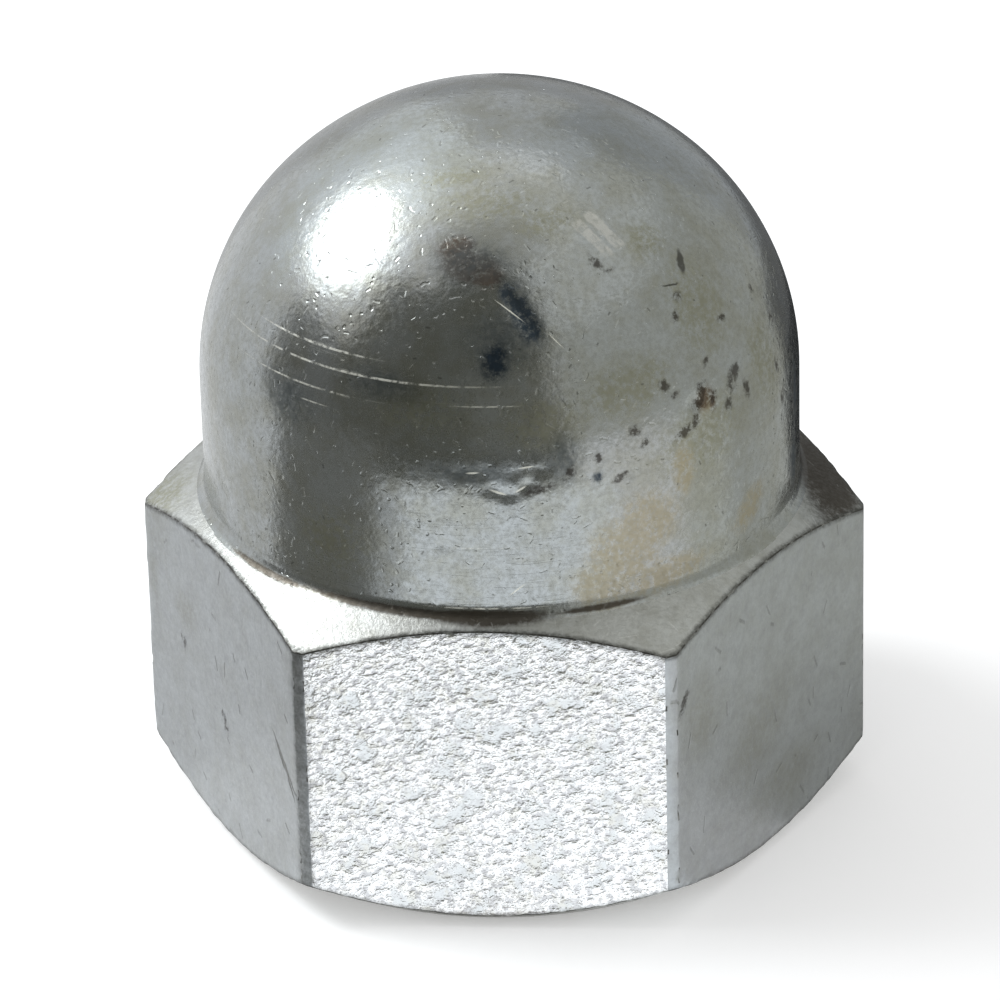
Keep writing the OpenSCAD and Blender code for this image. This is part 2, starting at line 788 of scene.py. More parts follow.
    def mill_flats(self, bm: bmesh.types.BMesh) -> None:
        """Moves the hexagon's rows in to the six flats, sliding its edges along the chamfers.

        Args:
            bm: The spun blank.
        """
        s = self.sizes
        low_z, high_z = s.bearing_chamfer_z(s.corner_r), s.neck_chamfer_z(s.corner_r)
        foot_r, _ = s.fillet_foot
        tiny = 0.1 * self.weld
        for v in bm.verts:
            blank_r = math.hypot(v.co.x, v.co.y)
            on_seat = blank_r <= s.bearing_r + tiny
            on_neck = v.co.z > high_z and blank_r <= foot_r + tiny
            if on_seat or on_neck:
                continue
            turn = math.atan2(v.co.y, v.co.x)
            cut_r = s.hexagon_r(turn)
            if v.co.z < low_z - tiny:
                share = (blank_r - s.bearing_r) / (s.corner_r - s.bearing_r)
                r = s.bearing_r + share * (cut_r - s.bearing_r)
                z = s.bearing_chamfer_z(r)
            elif v.co.z > high_z + tiny:
                share = (blank_r - foot_r) / (s.corner_r - foot_r)
                r = foot_r + share * (cut_r - foot_r)
                z = s.neck_chamfer_z(r)
            else:
                share = (v.co.z - low_z) / (high_z - low_z)
                r = cut_r
                z = s.bearing_chamfer_z(r) * (1 - share) + s.neck_chamfer_z(r) * share
            v.co = (r * math.cos(turn), r * math.sin(turn), z)

    def soften_edges(self, bm: bmesh.types.BMesh) -> None:
        """Breaks every sharp edge by a small, slightly ragged round.

        Args:
            bm: The milled blank.
        """
        bm.normal_update()
        limit = math.radians(self.soft_edge_angle)
        sharp = [e for e in bm.edges if e.calc_face_angle(0.0) > limit]
        coarse, fine = self.burr_scales
        for v in {v for e in sharp for v in e.verts}:
            rough = noise.noise(v.co * coarse) + self.burr_fine * noise.noise(v.co * fine)
            v.co -= v.normal * self.burr * limited(self.burr_bias + rough)
        rounds = bmesh.ops.bevel(
            bm,
            geom=sharp,
            offset=self.edge_softening,
            offset_type="OFFSET",
            affect="EDGES",
            segments=2,
            profile=0.5,
            material=-1,
            clamp_overlap=True,
        )
        bm.normal_update()
        for face in rounds["faces"]:
            is_level = abs(face.normal.z) > self.edge_lean
            if is_level and face.calc_center_median().z > self.edge_softening:
                face.material_index = Face.EDGE.value

    def wear_dome(self, bm: bmesh.types.BMesh) -> None:
        """Presses the dents into the dome and neck and gives the turned skin a faint waviness.

        Args:
            bm: The blank.
        """
        s = self.sizes
        pressers = [dent.presser(s) for dent in self.dents]
        bm.normal_update()
        for v in bm.verts:
            if v.co.z < s.hex_height + s.neck_fillet:
                continue
            push = sum(press(v.co) for press in pressers)
            ripple = self.ripple * noise_share(v.co * self.ripple_scale)
            v.co -= v.normal * max(0.0, push + ripple)

    def roughen_flat(self, bm: bmesh.types.BMesh) -> None:
        """Gives the coarse flat at -Y its leathery skin.

        Args:
            bm: The milled blank.
        """
        across, upright = self.coarse_scales
        lowest, highest = self.coarse_span
        for v in bm.verts:
            if v.co.y > self.weld / 2 - self.sizes.flat_r or not lowest < v.co.z < highest:
                continue
            grain = Vector((v.co.x * across, self.coarse_slice, v.co.z * upright))
            v.co.y += self.coarse_depth * noise_share(grain)

    def build(self) -> bmesh.types.BMesh:
        """Makes the whole outside.

        Returns:
            The skin, open only at the seat inside the bearing face.
        """
        bm = self.spin()
        self.mill_flats(bm)
        bmesh.ops.recalc_face_normals(bm, faces=bm.faces[:])
        self.soften_edges(bm)
        self.roughen_flat(bm)
        self.wear_dome(bm)
        return bm


@dataclass
class ThreadedHole:
    """The blind hole: countersink, right-hand thread, run-out, plain bore and drill point.

    Args:
        sizes: The nut's sizes.
        steps_per_turn: Columns of the mesh round the thread.
        flank_angle: Lean of a flank from the plane across the axis.
        root_flat: Width of the flat at the thread's root.
        turns_below: Turns that start below the bearing face and are cut off.
        cut_margin: Distance within which a point counts as lying on such a cut.
        run_out_start: Height at which the thread begins to fade.
        run_out_end: Height at which it has gone.
        cone_rows: Rows of the mesh on the drill point.
        tip_r: Radius at which its tip is closed.
        rim_r: Radius of the ring of bearing face round the mouth.
        weld: Distance below which points are joined.
    """

    sizes: NutSizes
    steps_per_turn: int = 120
    flank_angle: float = 30.0
    root_flat: float = 0.25
    turns_below: int = 2
    cut_margin: float = 1e-5
    run_out_start: float = 15.0
    run_out_end: float = 17.0
    cone_rows: int = 5
    tip_r: float = 0.0007
    rim_r: float = 9.0
    weld: float = 0.004

    def thread_outline(self) -> Outline:
        """Draws one pitch of the thread's section, crest to crest.

        Returns:
            The outline, whose ends lie one pitch apart.
        """
        s = self.sizes
        root_r = s.thread_d / 2
        flank = (root_r - s.bore_r) * math.tan(math.radians(self.flank_angle))
        crest = s.thread_pitch - self.root_flat - 2 * flank
        z = -self.turns_below * s.thread_pitch
        return (
            Outline()
            .start(s.bore_r, z)
            .line_to(s.bore_r, z + crest, 2)
            .line_to(root_r, z + crest + flank, 3)
            .line_to(root_r, z + crest + flank + self.root_flat, 1)
            .line_to(s.bore_r, z + s.thread_pitch, 3)
        )

    def cut_thread(self, bm: bmesh.types.BMesh) -> None:
        """Screws the section up the hole, right-hand, and closes its turns on each other.

        Args:
            bm: The hole's mesh.
        """
        s = self.sizes
        bmesh.ops.spin(
            bm,
            geom=self.thread_outline().draw(bm),
            cent=(0, 0, 0),
            axis=(0, 0, 1),
            dvec=(0, 0, s.thread_pitch / self.steps_per_turn),
            angle=FULL_TURN,
            steps=self.steps_per_turn,
            use_merge=False,
        )
        turns = math.ceil(self.run_out_end / s.thread_pitch + self.turns_below) + 1
        repeat_moved(bm, turns, Matrix.Translation((0, 0, s.thread_pitch)))
        bmesh.ops.remove_doubles(bm, verts=bm.verts[:], dist=self.weld)

    def trim(self, bm: bmesh.types.BMesh) -> None:
        """Cuts the thread off at the bearing plane and the run-out, and opens the countersink.

        Args:
            bm: The hole's mesh.
        """
        s = self.sizes
        for height, up in ((0.0, -1.0), (self.run_out_end, 1.0)):
            bmesh.ops.bisect_plane(
                bm,
                geom=[*bm.verts, *bm.edges, *bm.faces],
                dist=self.cut_margin,
                plane_co=(0, 0, height),
                plane_no=(0, 0, up),
                clear_outer=True,
            )
        run = self.run_out_end - self.run_out_start
        spread = math.tan(math.radians(s.countersink_angle / 2))
        for v in bm.verts:
            radius = math.hypot(v.co.x, v.co.y)
            cut = s.bore_r + (radius - s.bore_r) * limited((self.run_out_end - v.co.z) / run)
            grown = max(cut, s.mouth_r - v.co.z * spread) / radius
            v.co.x *= grown
            v.co.y *= grown

    def close_end(self, bm: bmesh.types.BMesh) -> None:
        """Extrudes the plain bore and the drill point above the run-out.

        Args:
            bm: The hole's mesh.
        """
        s = self.sizes
        near_top = self.run_out_end - self.weld
        top = [e for e in bm.edges if e.is_boundary and all(v.co.z > near_top for v in e.verts)]
        point_length = s.drill_point_z - s.bore_end_z
        for row in range(self.cone_rows + 1):
            grown = bmesh.ops.extrude_edge_only(bm, edges=top)["geom"]
            top = [g for g in grown if isinstance(g, bmesh.types.BMEdge) and g.is_boundary]
            share = row / self.cone_rows
            row_r = max(s.bore_r * (1 - share), self.tip_r)
            for v in {v for e in top for v in e.verts}:
                flat = Vector((v.co.x, v.co.y, 0)).normalized() * row_r
                v.co = (flat.x, flat.y, s.bore_end_z + point_length * share)
        tip = [v for v in bm.verts if v.co.z > s.drill_point_z - self.weld]
        bmesh.ops.remove_doubles(bm, verts=tip, dist=self.weld)

    def open_mouth(self, bm: bmesh.types.BMesh) -> None:
        """Extrudes a narrow ring of bearing face round the countersink.

        Args:
            bm: The hole's mesh.
        """
        mouth = [e for e in bm.edges if e.is_boundary and all(v.co.z < self.weld for v in e.verts)]
        grown = bmesh.ops.extrude_edge_only(bm, edges=mouth)["geom"]
        for v in (g for g in grown if isinstance(g, bmesh.types.BMVert)):
            flat = Vector((v.co.x, v.co.y, 0)).normalized() * self.rim_r
            v.co = (flat.x, flat.y, 0)

    def build(self) -> bmesh.types.BMesh:
        """Makes the whole hole.

        Returns:
            The hole's wall, open only at the ring on the bearing face.
        """
        bm = bmesh.new()
        self.cut_thread(bm)
        self.trim(bm)
        self.close_end(bm)
        self.open_mouth(bm)
        return bm


@dataclass
class CapNut:
    """The whole nut: outside and hole in one closed mesh, dressed face by face.

    Args:
        sizes: The nut's sizes.
        blank: Its outside.
        hole: Its hole.
        chamfer_lean: Least rise of a chamfer's normal.
        coarse_half_width: Half the width of the coarse flat, in degrees round the axis.
        margin: How far past the hole a face may lie and still count as its wall.
        fillet_margin: How far past the fillet a face still counts as turned.
    """

    sizes: NutSizes
    blank: TurnedBlank
    hole: ThreadedHole
    chamfer_lean: float = 0.35
    coarse_half_width: float = 28.8
    margin: float = 0.05
    fillet_margin: float = 0.02

    def join(self) -> bmesh.types.BMesh:
        """Joins the outside and the hole across the bearing face.

        Returns:
            One closed mesh, in millimetres.
        """
        bm = self.blank.build()
        inner = self.hole.build()
        carried = bpy.data.meshes.new("hole")
        inner.to_mesh(carried)
        inner.free()
        bm.from_mesh(carried)
        bpy.data.meshes.remove(carried)
        open_edges = [e for e in bm.edges if e.is_boundary]
        bmesh.ops.bridge_loops(bm, edges=open_edges)
        bmesh.ops.recalc_face_normals(bm, faces=bm.faces[:])
        return bm

    def face_kind(self, face: bmesh.types.BMFace) -> Face:
        """Tells which finish a face of the mesh has.

        Args:
            face: The mesh face.

        Returns:
            Its kind.
        """
        s = self.sizes
        middle = face.calc_center_median()
        radius = math.hypot(middle.x, middle.y)
        is_inside = radius < s.mouth_r + self.margin and middle.z < s.drill_point_z + self.margin
        if is_inside and face.normal.dot(middle) <= 0.0:
            return Face.HOLE
        if middle.z < s.hex_height / 2 and radius < s.bearing_r:
            return Face.BEARING
        on_fillet = face.normal.z > 0.0 and radius < s.fillet_foot[0] + self.fillet_margin
        if middle.z > s.hex_height or on_fillet:
            return Face.TURNED
        if abs(face.normal.z) > self.chamfer_lean:
            return Face.CHAMFER
        azimuth = math.degrees(math.atan2(middle.x, -middle.y))
        return Face.COARSE_FLAT if abs(azimuth) < self.coarse_half_width else Face.SMOOTH_FLAT

    def build(self, finishes: dict[Face, bpy.types.Material]) -> bpy.types.Object:
        """Makes the nut as one object in metres, at the frame's origin.

        Args:
            finishes: The material of each kind of face.

        Returns:
            The object, not yet on a body.
        """
        bm = self.join()
        for layer in PAINTED_LAYERS:
            layer.paint(bm, self.sizes)
        for face in bm.faces:
            face.smooth = True
            if face.material_index != Face.EDGE.value:
                face.material_index = self.face_kind(face).value
        bmesh.ops.transform(bm, matrix=Matrix.Scale(MM, 4), verts=bm.verts[:])
        return make_object(PIECE_NAME, bm, (finishes[kind] for kind in Face))


# ------------------------------ Materials


@dataclass(frozen=True)
class Grain:
    """A noise.

    Args:
        scale: Its scale, by the millimetre.
        detail: How many finer noises lie over it.
        rough: How strong the finer ones are.
    """

    scale: float
    detail: float = 2.0
    rough: float = 0.5


@dataclass(frozen=True)
class Fade:
    """A smooth change from one value to another.

    Args:
        low: Where it starts.
        high: Where it ends.
        before: Result at and before the start.
        after: Result at and past the end.
    """

    low: float
    high: float
    before: float = 0.0
    after: float = 1.0


@dataclass(frozen=True)
class Scatter:
    """Small marks strewn at random, at most one to a cell.

    Args:
        scale: Cells to a millimetre.
        reach: Radius of the largest, or half its length, in cells.
        share: Share of the cells that hold one.
        width: Half the width of a scratch, in millimetres.
        smallest: Size of the smallest, as a share of the largest.
        spread: Multiplier that draws a cell's second random number from its first.
    """

    scale: float
    reach: float
    share: float
    width: float = 0.0
    smallest: float = 0.4
    spread: float = 7.3


class NodePad:
    """Writes a node tree in short calls, with places given in millimetres."""

    def __init__(self, owner: bpy.types.Material | bpy.types.World) -> None:
        """Clears a node tree and gives it its output.

        Args:
            owner: What the tree belongs to.
        """
        owner.use_nodes = True
        self.owner = owner
        self.tree = owner.node_tree
        self.tree.nodes.clear()
        is_world = isinstance(owner, bpy.types.World)
        self.output = self.add("OutputWorld" if is_world else "OutputMaterial")

    @classmethod
    def material(cls, name: str) -> NodePad:
        """Starts a new material of that name."""
        return cls(bpy.data.materials.new(name))

    def add(self, kind: str, inputs: dict[int | str, object] | None = None, **options: object) -> Node:
        """Adds a node.

        Args:
            kind: Its type, without the prefix that all shader nodes have.
            inputs: What its inputs get, by number or name: a socket, a number, a vector or a colour.
            options: Its other settings.

        Returns:
            The node.
        """
        node = self.tree.nodes.new("ShaderNode" + kind)
        for name, option in options.items():
            setattr(node, name, option)
        for key, value in (inputs or {}).items():
            socket = node.inputs[key]
            if isinstance(value, Socket):
                self.tree.links.new(value, socket)
            else:
                socket.default_value = (*value, 1.0) if socket.type == "RGBA" else value
        return node

    def end(self, shader: Node) -> bpy.types.Material | bpy.types.World:
        """Ends the tree in a shader and returns the tree's owner."""
        self.tree.links.new(shader.outputs[0], self.output.inputs["Surface"])
        return self.owner

    def math(self, operation: str, *values: object) -> Socket:
        """Works out an operation on numbers."""
        return self.add("Math", dict(enumerate(values)), operation=operation).outputs[0]

    def times(self, first: object, second: object) -> Socket:
        """Multiplies two numbers."""
        return self.math("MULTIPLY", first, second)

    def larger(self, first: object, second: object) -> Socket:
        """Takes the larger of two numbers."""
        return self.math("MAXIMUM", first, second)

    def scaled(self, value: Socket, factor: float, offset: object = 0.0) -> Socket:
        """Multiplies a number by a factor and adds an offset."""
        return self.math("MULTIPLY_ADD", value, factor, offset)

    def vector_math(self, operation: str, *values: object) -> Socket:
        """Works out an operation on vectors."""
        return self.add("VectorMath", dict(enumerate(values)), operation=operation).outputs[0]

    def vector_number(self, operation: str, *values: object) -> Socket:
        """Works out an operation on vectors that gives a number."""
        return self.vector_math(operation, *values).node.outputs["Value"]

    def separate(self, vector: Socket) -> tuple[Socket, ...]:
        """Takes a vector apart into its three numbers."""
        return tuple(self.add("SeparateXYZ", {0: vector}).outputs)

    def place_mm(self) -> Socket:
        """Gives the place on the object, in millimetres."""
        place = self.add("TexCoord").outputs["Object"]
        return self.add("Mapping", {"Vector": place, "Scale": (1 / MM,) * 3}).outputs[0]

    def painted(self, layer: PaintedLayer) -> Socket:
        """Reads a painted layer of the mesh."""
        return self.add("Attribute", attribute_name=layer.name).outputs["Fac"]

    def stretched(self, vector: Socket, scale: Stretch, turn: float = 0.0) -> Socket:
        """Turns a place about Y and then stretches it, for a grain that runs one way.

        Args:
            vector: The place.
            scale: Scale along each axis.
            turn: The turn, in degrees.

        Returns:
            The changed place.
        """
        rotation = (0.0, math.radians(turn), 0.0)
        mapping = self.add("Mapping", {"Vector": vector, "Rotation": rotation}, vector_type="POINT")
        return self.vector_math("MULTIPLY", mapping.outputs[0], scale)

    def noise(self, vector: Socket, grain: Grain) -> Socket:
        """Gives a noise at a place, about 0.5 in the middle."""
        return self._noise(vector, grain).outputs[0]

    def _noise(self, vector: Socket, grain: Grain) -> Node:
        """Adds a noise texture."""
        inputs = {"Scale": grain.scale, "Detail": grain.detail, "Roughness": grain.rough}
        return self.add("TexNoise", {"Vector": vector, **inputs})

    def fade(self, value: Socket, fade: Fade) -> Socket:
        """Maps a value by a fade."""
        limits = {"From Min": fade.low, "From Max": fade.high, "To Min": fade.before, "To Max": fade.after}
        return self.add("MapRange", {0: value, **limits}, interpolation_type="SMOOTHSTEP").outputs[0]

    def mix(self, amount: Socket, first: object, second: object) -> Socket:
        """Mixes two colours.

        Args:
            amount: Share of the second colour.
            first: A colour socket or a plain colour.
            second: A colour socket or a plain colour.

        Returns:
            The mixed colour.
        """
        share, first_colour, second_colour, mixed_colour = 0, 6, 7, 2
        inputs = {share: amount, first_colour: first, second_colour: second}
        return self.add("Mix", inputs, data_type="RGBA").outputs[mixed_colour]

    def bent(self, vector: Socket, scale: float, reach: float) -> Socket:
        """Shifts places by a noise, so that what is drawn there gets ragged edges.

        Args:
            vector: The place.
            scale: Scale of the noise.
            reach: Largest shift, in millimetres.

        Returns:
            The shifted place.
        """
        colours = self._noise(vector, Grain(scale)).outputs["Color"]
        shift = self.vector_math("SUBTRACT", colours, (0.5, 0.5, 0.5))
        return self.vector_math("ADD", vector, self.vector_math("MULTIPLY", shift, (2 * reach,) * 3))

    def into_mark(self, vector: Socket, mark: Mark, sizes: NutSizes) -> Socket:
        """Turns a place into a mark's own frame, where the mark reaches from -1 to 1 each way.

        Args:
            vector: The place.
            mark: The mark.
            sizes: The nut's sizes.

        Returns:
            The place as the mark sees it.
        """
        frame = mark.frame(sizes)
        inputs = {"Location": frame.translation, "Rotation": frame.to_euler()}
        inputs["Scale"] = (mark.along, mark.across, mark.through)
        return self.add("Mapping", {"Vector": vector, **inputs}, vector_type="TEXTURE").outputs[0]

    def marks(self, vector: Socket, marks: Iterable[Mark], sizes: NutSizes, soft: float) -> Socket:
        """Draws marks of one kind.

        Args:
            vector: The place.
            marks: The marks.
            sizes: The nut's sizes.
            soft: Share of a mark's radius over which it fades.

        Returns:
            One inside the marks and zero outside them.
        """
        total = None
        for mark in marks:
            out = self.vector_number("LENGTH", self.into_mark(vector, mark, sizes))
            drawn = self.fade(out, Fade(1.0 - soft, 1.0, 1.0, 0.0))
            total = drawn if total is None else self.larger(total, drawn)
        return total

    def bars(self, vector: Socket, mark: Mark, sizes: NutSizes, count: int) -> Socket:
        """Draws straight bars that lie side by side and fill a mark.

        Args:
            vector: The place.
            mark: The mark, whose length is the bars' length.
            sizes: The nut's sizes.
            count: How many bars there are.

        Returns:
            One on the bars and zero elsewhere.
        """
        in_mark, on_bar = Fade(0.8, 1.0, 1.0, 0.0), Fade(0.26, 0.44, 1.0, 0.0)
        along, across, deep = self.separate(self.into_mark(vector, mark, sizes))
        side = self.larger(self.math("ABSOLUTE", along), self.math("ABSOLUTE", across))
        inside = self.fade(self.larger(side, self.math("ABSOLUTE", deep)), in_mark)
        row = self.math("FRACT", self.scaled(across, count / 2, count / 2))
        off_middle = self.math("ABSOLUTE", self.math("SUBTRACT", row, 0.5))
        return self.times(inside, self.fade(off_middle, on_bar))

    def strokes(self, vector: Socket, stretch: Stretch, fade: Fade) -> Socket:
        """Draws many fine scratches that run one way.

        Args:
            vector: The place.
            stretch: Scale of the pattern along each axis.
            fade: How high the noise has to rise to leave a scratch.

        Returns:
            One on the scratches and zero elsewhere.
        """
        return self.fade(self.noise(self.vector_math("MULTIPLY", vector, stretch), Grain(1.0, 1.0)), fade)

    def nicks(self, vector: Socket, nicks: Scatter) -> Socket:
        """Draws scattered short scratches, each straight and at an angle of its own.

        Args:
            vector: The place.
            nicks: Their sizes.

        Returns:
            One on the scratches and zero elsewhere.
        """
        cells = self.add("TexVoronoi", {"Vector": vector, "Scale": nicks.scale}).outputs
        skin = self.add("TexCoord").outputs["Normal"]
        pick, spread, _ = self.separate(cells["Color"])
        there = self.math("LESS_THAN", self.math("FRACT", self.times(pick, nicks.spread)), nicks.share)
        lean = self.vector_math("SUBTRACT", cells["Color"], (0.5, 0.5, 0.5))
        lean = self.vector_math("NORMALIZE", self.vector_math("CROSS_PRODUCT", lean, skin))
        aside = self.vector_math("SUBTRACT", vector, cells["Position"])
        off = self.math("ABSOLUTE", self.vector_number("DOT_PRODUCT", aside, lean))
        thin = self.fade(off, Fade(nicks.width / 4, nicks.width, 1.0, 0.0))
        shortest = nicks.smallest * nicks.reach
        end = self.scaled(spread, nicks.reach - shortest, shortest)
        long = self.math("LESS_THAN", cells["Distance"], end)
        return self.times(self.times(thin, long), there)

    def pocks(self, vector: Socket, pocks: Scatter) -> Socket:
        """Draws scattered round pocks.

        Args:
            vector: The place.
            pocks: Their sizes.

        Returns:
            One in the middle of a pock and zero outside it.
        """
        cells = self.add("TexVoronoi", {"Vector": vector, "Scale": pocks.scale}).outputs
        pick, spread, _ = self.separate(cells["Color"])
        smallest = pocks.smallest * pocks.reach
        radius = self.scaled(spread, pocks.reach - smallest, smallest)
        there = self.math("LESS_THAN", pick, pocks.share)
        out = self.math("DIVIDE", cells["Distance"], radius)
        return self.times(self.fade(out, Fade(0.25, 1.0, 1.0, 0.0)), there)

    def bump(self, height: Socket, depth: float) -> Socket:
        """Bends the normal by a height field whose full step is a depth in millimetres."""
        return self.add("Bump", {"Strength": 1.0, "Distance": depth * MM, "Height": height}).outputs[0]

    def metal(self, colour: Socket, roughness: object, normal: Socket) -> bpy.types.Material:
        """Dirt or shade that is painted on the mesh as a named attribute, which a finish reads.

        Args:
            colour: The metal's own colour.
            roughness: Its roughness.
            normal: Its bent normal.

        Returns:
            The finished material.
        """
        inputs = {"Metallic": 1.0, "Base Color": colour, "Roughness": roughness, "Normal": normal}
        return self.end(self.add("BsdfPrincipled", inputs))

    def seen_directly(self) -> Socket:
        """Stains, or painted shade, of one kind, each at a place of its own.

        Returns:
            One for camera, glossy and transmission rays, and zero for the rest.
        """
        rays = self.add("LightPath").outputs
        straight = self.larger(rays["Is Camera Ray"], rays["Is Glossy Ray"])
        return self.larger(straight, rays["Is Transmission Ray"])


OLIVE_STAINS_AND_SHADE = StainLayer(
    "olive_stains_and_shade",
    (
        Mark(45.0, 18.6, 4.0, 2.4, 10.0),
        Mark(40.3, 18.0, 0.7, 1.6),
        Mark(30.0, 21.2, 3.6, 1.9, 10.0),
        Mark(52.0, 23.0, 2.6, 3.4),
        Mark(47.0, 25.3, 1.6, 1.4),
        Mark(2.0, 26.9, 3.6, 1.5),
        Mark(20.0, 26.4, 2.2, 1.3),
        Mark(-14.0, 27.4, 2.6, 1.0, 20.0),
        Mark(12.0, 20.4, 3.0, 1.8),
        Mark(66.0, 20.0, 1.8, 3.4),
        Mark(-12.0, 21.0, 3.2, 1.8),
        Mark(-30.0, 15.2, 2.6, 2.4),
        # Painted shade, not a stain: darkens the far left of the chamfer.
        Mark(-88.0, 12.0, 3.4, 2.4),
        FlatMark(60.0, 5.6, 4.6, 3.4, 20.0, aside=-1.0),
        FlatMark(60.0, 2.6, 4.6, 2.4, 0.0, aside=1.0),
        FlatMark(60.0, 8.0, 2.6, 3.0, 0.0, aside=-5.0),
        FlatMark(-60.0, 9.0, 2.8, 0.9, 90.0, aside=-6.0),
        FlatMark(-60.0, 8.6, 1.8, 1.6, 0.0, aside=-3.2),
    ),
)
TAN_STAINS = StainLayer(
    "tan_stains",
    (
        Mark(27.0, 14.8, 2.4, 2.5),
        Mark(31.5, 15.9, 2.1, 2.0),
        Mark(23.0, 13.8, 2.0, 1.6),
        Mark(35.0, 13.6, 3.2, 1.0, 3.0),
        Mark(40.0, 17.6, 0.8, 1.6),
        Mark(58.0, 14.7, 1.8, 1.0, 35.0),
        Mark(46.5, 19.9, 0.6, 0.8),
    ),
    0.8,
)
RUST_STAINS = StainLayer(
    "rust_stains",
    (
        Mark(-3.6, 25.42, 1.6, 1.05, -15.0),
        Mark(-7.2, 25.8, 1.1, 0.8, 10.0),
        Mark(0.6, 25.22, 1.2, 0.95, -30.0),
        Mark(46.4, 20.0, 0.5, 0.75, -30.0),
        Mark(48.4, 19.8, 0.3, 0.6),
    ),
)
NAVY_STAINS = StainLayer(
    "navy_stains",
    (
        Mark(9.0, 24.2, 1.9, 0.76, -65.0),
        Mark(6.9, 24.65, 0.8, 0.7, -55.0),
        Mark(11.2, 23.6, 1.0, 0.78, -66.0),
        Mark(3.2, 22.6, 1.15, 0.8, 80.0),
        Mark(22.0, 18.2, 0.3, 0.4),
        Mark(79.5, 14.6, 0.9, 2.0),
        Mark(81.0, 17.5, 0.6, 2.4),
    ),
)
# Soft dark patches, partly stains and partly painted shade where the dome and neck should reflect
# something dark.
STAINS_AND_PAINTED_SHADE = StainLayer(
    "stains_and_painted_shade",
    (
        Mark(-41.5, 20.3, 2.4, 1.7, -20.0),
        Mark(-20.0, 21.6, 3.0, 1.1, -4.0),
        Mark(-3.0, 25.5, 2.5, 1.5),
        Mark(5.0, 23.3, 2.4, 2.2),
        Mark(3.2, 22.6, 1.5, 1.3),
        Mark(-2.0, 18.7, 3.4, 0.9),
        Mark(15.5, 19.2, 1.1, 1.8),
        # Painted shade on the chamfer's far right.
        Mark(97.0, 12.6, 8.0, 2.6),
    ),
)
SOOT_SPOTS = StainLayer(
    "soot_spots",
    (
        Mark(57.0, 22.25, 0.5, 0.24, -10.0),
        Mark(44.9, 22.96, 0.42, 0.26, 65.0),
        Mark(70.9, 22.34, 0.24, 0.34),
        Mark(74.1, 21.0, 0.46, 0.3, -75.0),
        Mark(47.6, 23.52, 0.42, 0.26, -15.0),
        Mark(55.6, 20.3, 0.7, 0.5, 30.0),
        Mark(54.2, 20.0, 0.4, 0.5),
        Mark(58.6, 19.5, 0.3, 0.7, 8.0),
        Mark(52.6, 19.35, 0.42, 0.42),
        Mark(45.0, 19.98, 0.75, 0.42, 55.0),
        Mark(46.4, 20.45, 0.5, 0.34, 30.0),
        Mark(43.6, 19.3, 0.44, 0.32, 70.0),
        Mark(40.6, 19.05, 0.8, 0.32, 10.0),
        Mark(30.0, 19.65, 0.44, 0.34, -40.0),
        Mark(32.0, 19.15, 0.44, 0.26, 40.0),
        Mark(26.6, 18.05, 0.62, 0.26, 20.0),
        Mark(22.4, 18.95, 0.4, 0.24, 60.0),
        Mark(37.7, 20.93, 0.46, 0.3, -55.0),
        Mark(39.6, 20.5, 0.34, 0.22, 20.0),
        Mark(71.1, 19.36, 0.32, 0.5, 15.0),
        Mark(72.3, 18.03, 0.34, 0.6, -15.0),
        Mark(48.6, 19.9, 0.3, 0.42),
        Mark(30.4, 25.15, 0.7, 0.24, -66.0),
        Mark(33.4, 24.82, 0.6, 0.14, 0.0),
        Mark(49.0, 21.2, 0.34, 0.2, 50.0),
        Mark(10.5, 18.0, 1.1, 0.32, 14.0),
        Mark(16.6, 18.5, 0.5, 0.3, 60.0),
        FlatMark(60.0, 9.4, 1.1, 0.3, 62.0, aside=-6.2),
        FlatMark(-60.0, 5.4, 0.9, 0.24, -66.0, aside=0.2),
        FlatMark(-60.0, 7.2, 0.7, 0.24, -62.0, aside=-3.4),
    ),
    0.9,
)
# Grime at the neck's fillet, and painted shade: the wide mark at 98 degrees darkens the chamfer's far
# right.
ROOT_GRIME_AND_SHADE = StainLayer(
    "root_grime_and_shade",
    (
        Mark(-14.0, 12.95, 7.2, 0.2),
        Mark(1.0, 12.93, 3.4, 0.34),
        Mark(-46.0, 12.9, 3.6, 0.14),
        Mark(22.0, 12.95, 2.6, 0.12),
        # Painted shade, not grime: darkens the chamfer's far right.
        Mark(98.0, 12.4, 6.2, 2.3),
    ),
    0.8,
)
LATHE_BANDS = StainLayer(
    "lathe_bands",
    (
        RingMark(-36.0, 22.38, 4.4, 0.26),
        RingMark(-24.0, 21.78, 7.4, 0.26, 0.5),
        RingMark(-36.0, 20.95, 4.0, 0.26, 0.6),
        RingMark(-44.0, 20.55, 2.2, 0.2),
        RingMark(2.0, 21.15, 3.2, 0.2),
        RingMark(-52.0, 21.2, 1.6, 0.24),
        RingMark(1.0, 13.2, 5.0, 0.3),
        RingMark(2.0, 15.7, 2.6, 0.3),
    ),
)
EDGE_GRIME = EdgeLayer("edge_grime")
PAINTED_LAYERS = (
    OLIVE_STAINS_AND_SHADE,
    TAN_STAINS,
    RUST_STAINS,
    NAVY_STAINS,
    STAINS_AND_PAINTED_SHADE,
    SOOT_SPOTS,
    ROOT_GRIME_AND_SHADE,
    LATHE_BANDS,
    EDGE_GRIME,
)


@dataclass(frozen=True)
class Stain:
    """How one kind of stain, or of painted shade, looks.

    Args:
        layer: The painted layer that says where it is.
        colour: Its colour.
        strength: How far it covers the metal.
        low: Painted value at which it starts to show.
        high: Painted value at which it shows in full.
        ragged: How far fine specks break it up, up to 1.
    """

    layer: PaintedLayer
    colour: Colour
    strength: float
    low: float
    high: float
    ragged: float = 0.9


